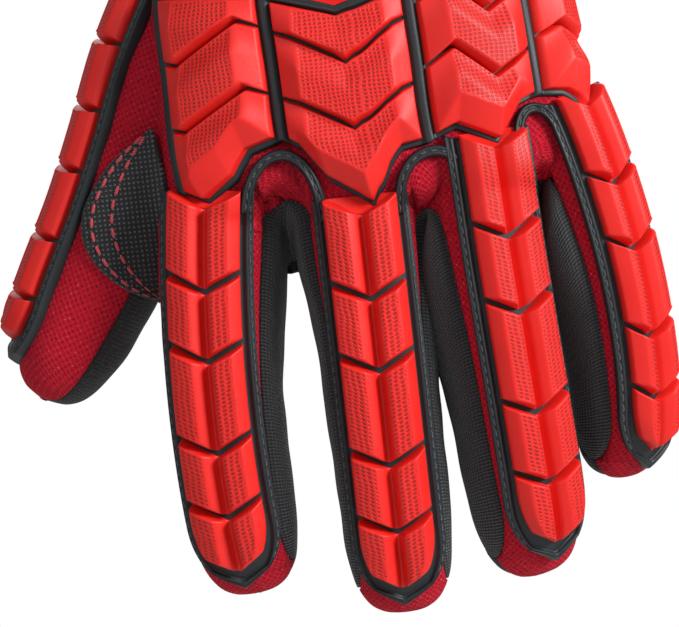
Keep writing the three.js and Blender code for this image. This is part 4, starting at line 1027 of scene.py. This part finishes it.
def build_materials(colours):
    """Every cloth, rubber and thread of the glove."""
    # Spacer mesh, warp knitted in polyester: rows of small diamond holes between pale-flecked threads
    tree, shader, place = new_material("Crimson Spacer Mesh", {"Roughness": 0.85, "Specular IOR Level": 0.25})
    slant = {"Vector": place, "Rotation": (0, 0, math.pi / 4), "Scale": (0.85, 0.85, 1)}
    turned = add_node(tree, "ShaderNodeMapping", inputs=slant).outputs[0]
    holes = {"Vector": turned, "Scale": 1.0, "Randomness": 0.18}
    cells = add_node(tree, "ShaderNodeTexVoronoi", inputs=holes)
    yarn = {"Vector": place, "Scale": 2.6, "Detail": 3.0, "Roughness": 0.7}
    threads = add_node(tree, "ShaderNodeTexNoise", inputs=yarn)
    mixed = combined(tree, "MULTIPLY_ADD", threads.outputs["Fac"], 0.85, cells.outputs["Distance"])
    height = stretched(tree, mixed, 0.45, 1.25)
    colour_steps = [(0.0, colours.mesh_dark), (1.0, "F58C9C"), (0.35, colours.mesh), (0.8, colours.mesh)]
    finish_colour(tree, shader, height, 0.6, colour_steps)

    # Rib knit, nylon: fine ribs across each side strip, 0.7 mm apart
    tree, shader, place = new_material("Black Rib Knit", {"Roughness": 0.78, "Sheen Weight": 0.2})
    rib = {"Vector": place, "Scale": 0.45, "Distortion": 1.2, "Detail": 2.0, "Detail Scale": 1.5}
    ribs = add_node(tree, "ShaderNodeTexWave", {"bands_direction": "Y"}, rib)
    wale = {"Vector": place, "Scale": 0.32, "Distortion": 0.8, "Detail": 1.0}
    wales = add_node(tree, "ShaderNodeTexWave", {"bands_direction": "X"}, wale)
    height = combined(tree, "MULTIPLY_ADD", wales.outputs["Fac"], 0.35, ribs.outputs["Fac"])
    height = stretched(tree, height, 0.0, 1.35)
    colour_steps = [(0.0, "050506"), (1.0, "3A3E44"), (0.5, colours.black_cloth)]
    finish_colour(tree, shader, height, 0.5, colour_steps)

    # Palm cloth, dipped knit: close small loops, 1 mm apart, a little greyed on top
    tree, shader, place = new_material("Black Dipped Knit", {"Roughness": 0.7, "Sheen Weight": 0.1})
    loops = add_node(tree, "ShaderNodeTexVoronoi", inputs={"Vector": place, "Scale": 1.0, "Randomness": 0.35})
    grain = add_node(tree, "ShaderNodeTexNoise", inputs={"Vector": place, "Scale": 3.0, "Detail": 3.0})
    height = combined(tree, "SUBTRACT", grain.outputs["Fac"], loops.outputs["Distance"])
    height = stretched(tree, height, -0.4, 0.7)
    colour_steps = [(0.0, "060607"), (1.0, "34373C"), (0.5, colours.black_cloth)]
    finish_colour(tree, shader, height, 0.55, colour_steps)

    # Patch, basket-woven nylon: coarse threads 1.1 mm apart with grey flecks
    tree, shader, place = new_material("Black Basket Weave", {"Roughness": 0.74, "Sheen Weight": 0.15})
    strand = {"Vector": place, "Scale": 0.29, "Distortion": 0.6}
    warp = add_node(tree, "ShaderNodeTexWave", {"bands_direction": "X"}, strand)
    weft = add_node(tree, "ShaderNodeTexWave", {"bands_direction": "Y"}, strand)
    crossed = combined(tree, "MULTIPLY", warp.outputs["Fac"], weft.outputs["Fac"])
    fleck = {"Vector": place, "Scale": 1.6, "Detail": 4.0, "Roughness": 0.75}
    flecks = add_node(tree, "ShaderNodeTexNoise", inputs=fleck)
    height = stretched(tree, combined(tree, "MULTIPLY_ADD", flecks.outputs["Fac"], 0.9, crossed), 0.25, 1.35)
    colour_steps = [(0.0, "060607"), (1.0, "6A6E74"), (0.45, "17191C"), (0.8, "2C2F34")]
    finish_colour(tree, shader, height, 0.6, colour_steps)

    # Thermoplastic rubber, injection moulded: a soft satin skin, a little uneven in tone at random, and
    # darker in the pits of its textured tops, where the shade is painted
    for name, base, dark, light in (
        ("Red Moulded Rubber", colours.red_rubber, "6E0805", "E2261F"),
        ("Black Moulded Rubber", colours.black_rubber, "101416", "262C30"),
    ):
        tree, shader, surface = new_material(name, {"Roughness": 0.5, "Specular IOR Level": 0.42, "IOR": 1.5})
        place = add_node(tree, "ShaderNodeTexCoord").outputs["Object"]
        cloudy = add_node(tree, "ShaderNodeTexNoise", inputs={"Vector": place, "Scale": 90.0, "Detail": 4.0})
        fine = add_node(tree, "ShaderNodeTexNoise", inputs={"Vector": place, "Scale": 1800.0, "Detail": 2.0})
        uneven = combined(tree, "MULTIPLY_ADD", fine.outputs["Fac"], 0.35, cloudy.outputs["Fac"])
        level = stretched(tree, uneven, 0.1, 1.2, 0.55, 1.0)
        # Small slanted pits, 0.9 mm apart, etched into the mould where the tops are textured; their depth
        # also darkens the colour, as painted shade in the pits
        pits = []
        for direction, scale in (("X", 0.33), ("Y", 0.36)):
            pit = {"Vector": surface, "Scale": scale, "Distortion": 2.6, "Detail": 1.0, "Detail Scale": 0.8}
            waves = add_node(tree, "ShaderNodeTexWave", {"bands_direction": direction}, pit)
            pits.append(waves.outputs["Fac"])
        depth = stretched(tree, combined(tree, "MULTIPLY", *pits), 0.15, 0.5, 0.0, 0.5)
        mask = add_node(tree, "ShaderNodeAttribute", {"attribute_name": "Textured"}).outputs["Fac"]
        # Painted shade: the ramp takes the pits' depth too, so the pits are coloured darker as if shaded
        height = combined(tree, "SUBTRACT", level, combined(tree, "MULTIPLY", depth, mask))
        finish_colour(tree, shader, height, 0.3, [(0.0, dark), (1.0, light), (0.75, base)], 0.8)

    # Sewing thread, twisted polyester: a slant across each stitch
    for name, base, light in (("Black Thread", "15171A", "3C4046"), ("Red Thread", "B51522", "E8495A")):
        tree, shader, place = new_material(name, {"Roughness": 0.55, "Sheen Weight": 0.3})
        slant = {"Vector": place, "Scale": 0.9}
        twist = add_node(tree, "ShaderNodeTexWave", {"bands_direction": "DIAGONAL"}, slant)
        finish_colour(tree, shader, twist.outputs["Fac"], 0.12, [(0.0, base), (1.0, light)])

    # Studio floor: matt paper
    tree, shader, place = new_material("Matt White Paper", {"Roughness": 0.9})
    place = add_node(tree, "ShaderNodeTexCoord").outputs["Object"]
    fibres = add_node(tree, "ShaderNodeTexNoise", inputs={"Vector": place, "Scale": 40.0, "Detail": 3.0})
    finish_colour(tree, shader, fibres.outputs["Fac"], 0.05, [(0.0, "ECECEC"), (1.0, "F6F6F6")], 0.2)


def thicken(piece, thickness):
    """The cloth's wall, grown inwards from its face by a modifier."""
    wall = piece.modifiers.new("Wall", "SOLIDIFY")
    wall.thickness = thickness * MM
    wall.offset = -1
    wall.use_rim = True


def flat_area(piece):
    """The area of a cloth piece's face before it gets its wall, in square metres."""
    areas = np.zeros(len(piece.data.polygons))
    piece.data.polygons.foreach_get("area", areas)
    return float(areas.sum())


def declare_cloth(piece, cut):
    """A cloth piece's own area, held under the area of the flat size it is cut from; it is worked out and not
    used.
    """
    area = min(flat_area(piece), cut[0] * cut[1] * 0.999)


# Settings
def length_setting(name, text, start, least, most):
    """A setting in millimetres with its range."""
    return FloatProperty(name=name, description=f"{text}, in mm", default=start, min=least, max=most)


class GloveSizes(bpy.types.PropertyGroup):
    """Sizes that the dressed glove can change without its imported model."""

    relief: length_setting("Emboss depth", "How deep the textured tops lie", 0.2, 0, 0.6)
    folds: length_setting("Fold depth", "Depth of the cloth's shallow folds", 0.5, 0, 2)
    stitch_pitch: length_setting("Stitch pitch", "Distance between stitches", 2.4, 1, 6)
    stitch_length: length_setting("Stitch length", "Length of a stitch", 1.7, 0.5, 5)
    thread: length_setting("Thread radius", "Radius of the sewing thread", 0.3, 0.1, 1)
    cloth_wall: length_setting("Cloth thickness", "Thickness of the cloth's wall", 1.2, 0.5, 3)


class GloveColours(bpy.types.PropertyGroup):
    """Colours of the glove, as sRGB hex."""

    mesh: StringProperty(name="Mesh", description="Threads of the crimson mesh", default="CE0F2C")
    mesh_dark: StringProperty(name="Mesh holes", description="Holes of the crimson mesh", default="5E0412")
    red_rubber: StringProperty(name="Red rubber", description="Moulded blocks", default="DC1B14")
    black_rubber: StringProperty(name="Black rubber", description="Moulded bases and rims", default="1B2124")
    black_cloth: StringProperty(name="Black cloth", description="Knitted black cloth", default="15171A")


# Operators
class GLOVE_OT_materials(bpy.types.Operator):
    """Makes every material of the glove and its stage"""

    bl_idname = "glove.materials"
    bl_label = "Materials"

    def execute(self, context):
        build_materials(context.scene.glove_colours)
        return {"FINISHED"}


class GLOVE_OT_panels(bpy.types.Operator):
    """Makes the crimson back and the black palm, each with its side of the four fingers"""

    bl_idname = "glove.panels"
    bl_label = "Back and palm"

    def execute(self, context):
        sizes = context.scene.glove_sizes
        for side, material, slot in (
            ("back", "Crimson Spacer Mesh", "crimson_mesh"),
            ("palm", "Black Dipped Knit", "black_fabric"),
        ):
            parts = [open_part(*hand_cloth(side, sizes.folds), flip=True)]
            for name in FINGERS:
                at = tip_places(-0.1, 0.012)
                low, high = finger_angles(name, side, at)
                cloth = limb_cloth(LIMBS[name], at, low, high, FINGER_COLUMNS, sizes.folds * 0.6)
                parts.append(open_part(*cloth, flip=True))
            piece = make_piece(f"{side}_panel_cloth", parts, material, [f"{side}_panel"])
            declare_cloth(piece, PANEL_CUT)
            thicken(piece, sizes.cloth_wall)
        return {"FINISHED"}


class GLOVE_OT_fourchettes(bpy.types.Operator):
    """Makes the ribbed side strips that join neighbouring fingers over their webs"""

    bl_idname = "glove.fourchettes"
    bl_label = "Fourchettes"

    def execute(self, context):
        sizes = context.scene.glove_sizes
        names = list(FINGERS)
        for k in range(3):
            part = open_part(*fourchette(k, sizes.folds))
            node = f"fourchette_{names[k]}_{names[k + 1]}"
            piece = make_piece(f"{node}_knit", [part], "Black Rib Knit", [node])
            declare_cloth(piece, FOURCHETTE_CUT)
            thicken(piece, sizes.cloth_wall)
        return {"FINISHED"}


class GLOVE_OT_thumb(bpy.types.Operator):
    """Makes the thumb's crimson back and its black palm side"""

    bl_idname = "glove.thumb"
    bl_label = "Thumb"

    def execute(self, context):
        sizes = context.scene.glove_sizes
        at = tip_places(0.03, 0.012)
        seam, far_seam = THUMB_SEAM, 360 - THUMB_SEAM
        for node, low, high, columns, cut, material, slot in (
            ("thumb_back", -seam, seam, 81, THUMB_BACK_CUT, "Crimson Spacer Mesh", "crimson_mesh"),
            ("thumb_palm", seam, far_seam, 61, THUMB_PALM_CUT, "Black Dipped Knit", "black_fabric"),
        ):
            cloth = limb_cloth(THUMB, at, low, high, columns, sizes.folds)
            piece = make_piece(f"{node}_cloth", [open_part(*cloth, flip=True)], material, [node])
            declare_cloth(piece, cut)
            thicken(piece, sizes.cloth_wall)
        return {"FINISHED"}


class GLOVE_OT_patch(bpy.types.Operator):
    """Makes the woven patch over the thumb's crotch with its two rows of red stitches"""

    bl_idname = "glove.patch"
    bl_label = "Thumb patch"

    def execute(self, context):
        sizes = context.scene.glove_sizes
        inward = np.concatenate([np.linspace(0, 0.08, 6), even(0.1, 1, 0.025)])[None, :]
        down = np.linspace(0, 1, 81)[:, None]
        edge = PATCH_LIFT * smooth_step(0, 0.05, inward)
        points = patch_point(inward + 0 * down, down + 0 * inward, edge)
        uv = np.stack([points[..., 0], points[..., 2]], -1)
        part = open_part(points, uv, flip=True)
        piece = make_piece("thumb_patch_weave", [part], "Black Basket Weave", ["thumb_patch"])
        declare_cloth(piece, PATCH_CUT)
        thicken(piece, 1.0)
        rows = []
        places = np.linspace(0.03, 0.97, 120)
        up = np.tile([[-0.2, -1.0, 0.0]], (len(places), 1))
        for share in (0.13, 0.36):
            path = patch_point(np.full(len(places), share), places, PATCH_LIFT + 0.15)
            rows.append(stitches(path, up, pitch=3.2, length=2.3, thick=0.36))
        make_piece("thumb_patch_stitches", rows, "Red Thread")
        return {"FINISHED"}


class GLOVE_OT_cuff(bpy.types.Operator):
    """Makes the plain knitted cuff and the binding round its opening"""

    bl_idname = "glove.cuff"
    bl_label = "Cuff"

    def execute(self, context):
        knit = even(0, 0.995, 0.016)
        tape = even(-0.012, 9 / CUFF_LENGTH, 0.012)
        for name, node, shares, wall, crown, rib_height, material in (
            ("cuff_knit", "cuff", knit, 2.4, 0.0, CUFF_RIB_HEIGHT, "Black Rib Knit"),
            ("cuff_binding_tape", "cuff_binding", tape, 1.0, 1.3, 0.0, "Black Basket Weave"),
        ):
            turn = np.linspace(0, 2 * math.pi, 161)[:-1][None, :] + 0 * shares[:, None]
            down = shares[:, None] + 0 * turn
            ribs = rib_height * np.sin(turn * CUFF_RIBS) * smooth_step(0.16, 0.2, down)
            outer, inner = cuff_ring(down, turn, crown + ribs), cuff_ring(down, turn, crown - wall)
            points, faces = closed_wall(outer, inner)
            along = np.concatenate([down, down[::-1]]) * CUFF_LENGTH
            round_cuff = np.concatenate([turn, turn]) / (2 * math.pi) * CUFF_GIRTH
            part = (points, np.stack([round_cuff, along], -1), faces[:, ::-1], [])
            make_piece(name, [part], material, [node])
        return {"FINISHED"}


def make_rubber(node, part, colour):
    """A moulded piece that takes a node's place, in red or black rubber."""
    material = f"{colour.capitalize()} Moulded Rubber"
    make_piece(f"{node}_rubber", [part], material, [node])


class GLOVE_OT_plate(bpy.types.Operator):
    """Makes the moulded plate over the knuckles: its black base, red blocks and web loops"""

    bl_idname = "glove.plate"
    bl_label = "Knuckle plate"

    def execute(self, context):
        sizes = context.scene.glove_sizes
        make_rubber("plate_base", plate_base(), "black")
        for name in PLATE_COLUMNS:
            for row in range(3):
                make_rubber(f"plate_block_{name}_{row + 1}", plate_block(name, row, sizes.relief), "red")
        for k in range(3):
            make_rubber(f"web_loop_{k + 1}", web_loop(k), "black")
        return {"FINISHED"}


def guard_settings():
    """Each guard's limb, span, half width, rows and drop, by name."""
    guards = {
        name: (LIMBS[name], FINGER_GUARD_SPAN, finger["guard"] * GUARD_HALF_WIDTH, FINGER_ROWS, CHEVRON_DROP)
        for name, finger in FINGERS.items()
    }
    guards["thumb"] = (THUMB, THUMB_GUARD_SPAN, GUARD_HALF_WIDTH, THUMB_ROWS, THUMB_CHEVRON_DROP)
    return guards


class GLOVE_OT_guards(bpy.types.Operator):
    """Makes the moulded guards of the fingers and the thumb: black bases and red chevron rows"""

    bl_idname = "glove.guards"
    bl_label = "Finger guards"

    def execute(self, context):
        relief = context.scene.glove_sizes.relief
        for name, (limb, span, half_width, rows, drop) in guard_settings().items():
            make_rubber(f"{name}_guard", guard_base(limb, span, half_width, drop), "black")
            inner = half_width - RIM_WIDTH - ROW_CLEARANCE
            lean = -1 if name in ("ring", "little") else 1
            for k, (top, bottom) in enumerate(row_spans(limb, span, rows)):
                if k == 0 and limb is not THUMB:
                    top = top - FIRST_ROW_RISE / limb.length
                row = chevron_row(limb, span, top, bottom, inner, drop, relief, lean)
                make_rubber(f"{name}_row_{k + 1}", row, "red")
        return {"FINISHED"}


class GLOVE_OT_stitches(bpy.types.Operator):
    """Makes the black stitches in the grooves of the guards' rims and the web loops"""

    bl_idname = "glove.stitches"
    bl_label = "Stitches"

    def execute(self, context):
        sizes = context.scene.glove_sizes
        thread = (sizes.stitch_pitch, sizes.stitch_length, sizes.thread)
        groove = BASE_LIFT + RIM_HEIGHT - 0.4
        for name, (limb, span, half_width, rows, drop) in guard_settings().items():
            share = np.linspace(0.03, 0.97, 160)
            at = span[0] + share * (span[1] - span[0])
            lines = []
            for side in (-1, 1):
                across = side * (half_width * narrowing(share) - RIM_WIDTH / 2)
                fall = drop * RIM_WIDTH / 2 / half_width / limb.length
                lines.append(surface_stitches(limb, at + fall, across, groove, *thread))
            make_piece(f"{name}_guard_stitches", lines, "Black Thread")
        lines = []
        for k in range(3):
            places = loop_band(k, LOOP_ROWS, np.zeros((1, 1)))[:, 0]
            out = np.tile([[0.0, -1.0, 0.0]], (LOOP_ROWS, 1))
            lines.append(stitches(places + out * (BASE_LIFT + WEB_LOOP_HEIGHT - 0.1), out, *thread))
        make_piece("web_loop_stitches", lines, "Black Thread")
        return {"FINISHED"}


CAMERA_PLACE = (-0.0145, -0.7669, -0.181)
CAMERA_ROLL = 6.5


def turned_to(side, up, back, place):
    """A placing matrix from three directions and a place."""
    matrix = Matrix([side, up, back]).transposed().to_4x4()
    matrix.translation = place
    return matrix


class GLOVE_OT_stage(bpy.types.Operator):
    """Makes the pale floor, the soft lights and the camera at the photograph's angle"""

    bl_idname = "glove.stage"
    bl_label = "Stage"

    def execute(self, context):
        scene = context.scene
        corners, reach, floor_z = 64, 2.2, -0.9
        turn = np.arange(corners) * 2 * math.pi / corners
        disc = bpy.data.meshes.new("studio_floor")
        rim = np.stack([reach * np.cos(turn), reach * np.sin(turn), np.full(corners, floor_z)], -1)
        disc.from_pydata(rim.tolist(), [], [list(range(corners))])
        floor = bpy.data.objects.new("studio_floor", disc)
        disc.materials.append(bpy.data.materials["Matt White Paper"])
        scene.collection.objects.link(floor)

        world = bpy.data.worlds.new("Soft White Studio")
        world.use_nodes = True
        tree = world.node_tree
        tree.nodes.clear()
        seen = add_node(tree, "ShaderNodeLightPath").outputs["Is Camera Ray"]
        level = stretched(tree, seen, 0.0, 1.0, 0.3, 1.0)
        white = {"Color": (1, 1, 1, 1), "Strength": level}
        sky = add_node(tree, "ShaderNodeBackground", inputs=white)
        add_node(tree, "ShaderNodeOutputWorld", inputs={"Surface": sky.outputs[0]})
        scene.world = world
        scene.view_settings.view_transform = "Standard"

        target = np.array([0.0, -0.01, -0.17])
        for name, place, size, power in (
            ("key_light", (0.8, -0.65, 0.2), 0.35, 15.0),
            ("fill_light", (-0.5, -1.1, 0.3), 0.8, 3.0),
            ("back_light", (0.2, 0.9, 0.3), 0.8, 6.0),
        ):
            light = bpy.data.lights.new(name, "AREA")
            light.size, light.energy = size, power
            lamp = bpy.data.objects.new(name, light)
            away = unit(np.array(place) - target)
            side = unit(np.cross([0, 0, 1], away))
            lamp.matrix_world = turned_to(side, np.cross(away, side), away, place)
            scene.collection.objects.link(lamp)

        roll = math.radians(CAMERA_ROLL)
        lens = bpy.data.cameras.new("Camera")
        lens.lens, lens.sensor_width = 180, 36
        lens.clip_start, lens.clip_end = 0.01, 20
        camera = bpy.data.objects.new("Camera", lens)
        across = [math.cos(roll), 0, -math.sin(roll)]
        upwards = [math.sin(roll), 0, math.cos(roll)]
        camera.matrix_world = turned_to(across, upwards, [0, -1, 0], CAMERA_PLACE)
        scene.collection.objects.link(camera)
        scene.camera = camera
        return {"FINISHED"}


OPERATORS = [
    GLOVE_OT_materials,
    GLOVE_OT_panels,
    GLOVE_OT_fourchettes,
    GLOVE_OT_thumb,
    GLOVE_OT_patch,
    GLOVE_OT_cuff,
    GLOVE_OT_plate,
    GLOVE_OT_guards,
    GLOVE_OT_stitches,
    GLOVE_OT_stage,
]


class GLOVE_PT_panel(bpy.types.Panel):
    """Lists the glove's settings and its operators in the order they are run"""

    bl_idname = "GLOVE_PT_panel"
    bl_label = "Impact Glove"
    bl_space_type = "VIEW_3D"
    bl_region_type = "UI"
    bl_category = "Glove"

    def draw(self, context):
        for group in (context.scene.glove_sizes, context.scene.glove_colours):
            for name in group.bl_rna.properties.keys():
                if name not in ("rna_type", "name"):
                    self.layout.prop(group, name)
        for operator in OPERATORS:
            self.layout.operator(operator.bl_idname)


CLASSES = [GloveSizes, GloveColours, *OPERATORS, GLOVE_PT_panel]


def register():
    """Registers the classes and the scene's settings."""
    for item in CLASSES:
        bpy.utils.register_class(item)
    bpy.types.Scene.glove_sizes = PointerProperty(type=GloveSizes)
    bpy.types.Scene.glove_colours = PointerProperty(type=GloveColours)


def unregister():
    """Takes the settings and the classes out again."""
    del bpy.types.Scene.glove_colours
    del bpy.types.Scene.glove_sizes
    for item in reversed(CLASSES):
        bpy.utils.unregister_class(item)


def main():
    """Runs every operator in order."""
    register()
    for operator in OPERATORS:
        group, name = operator.bl_idname.split(".")
        getattr(getattr(bpy.ops, group), name)()


if __name__ == "__main__":
    main()
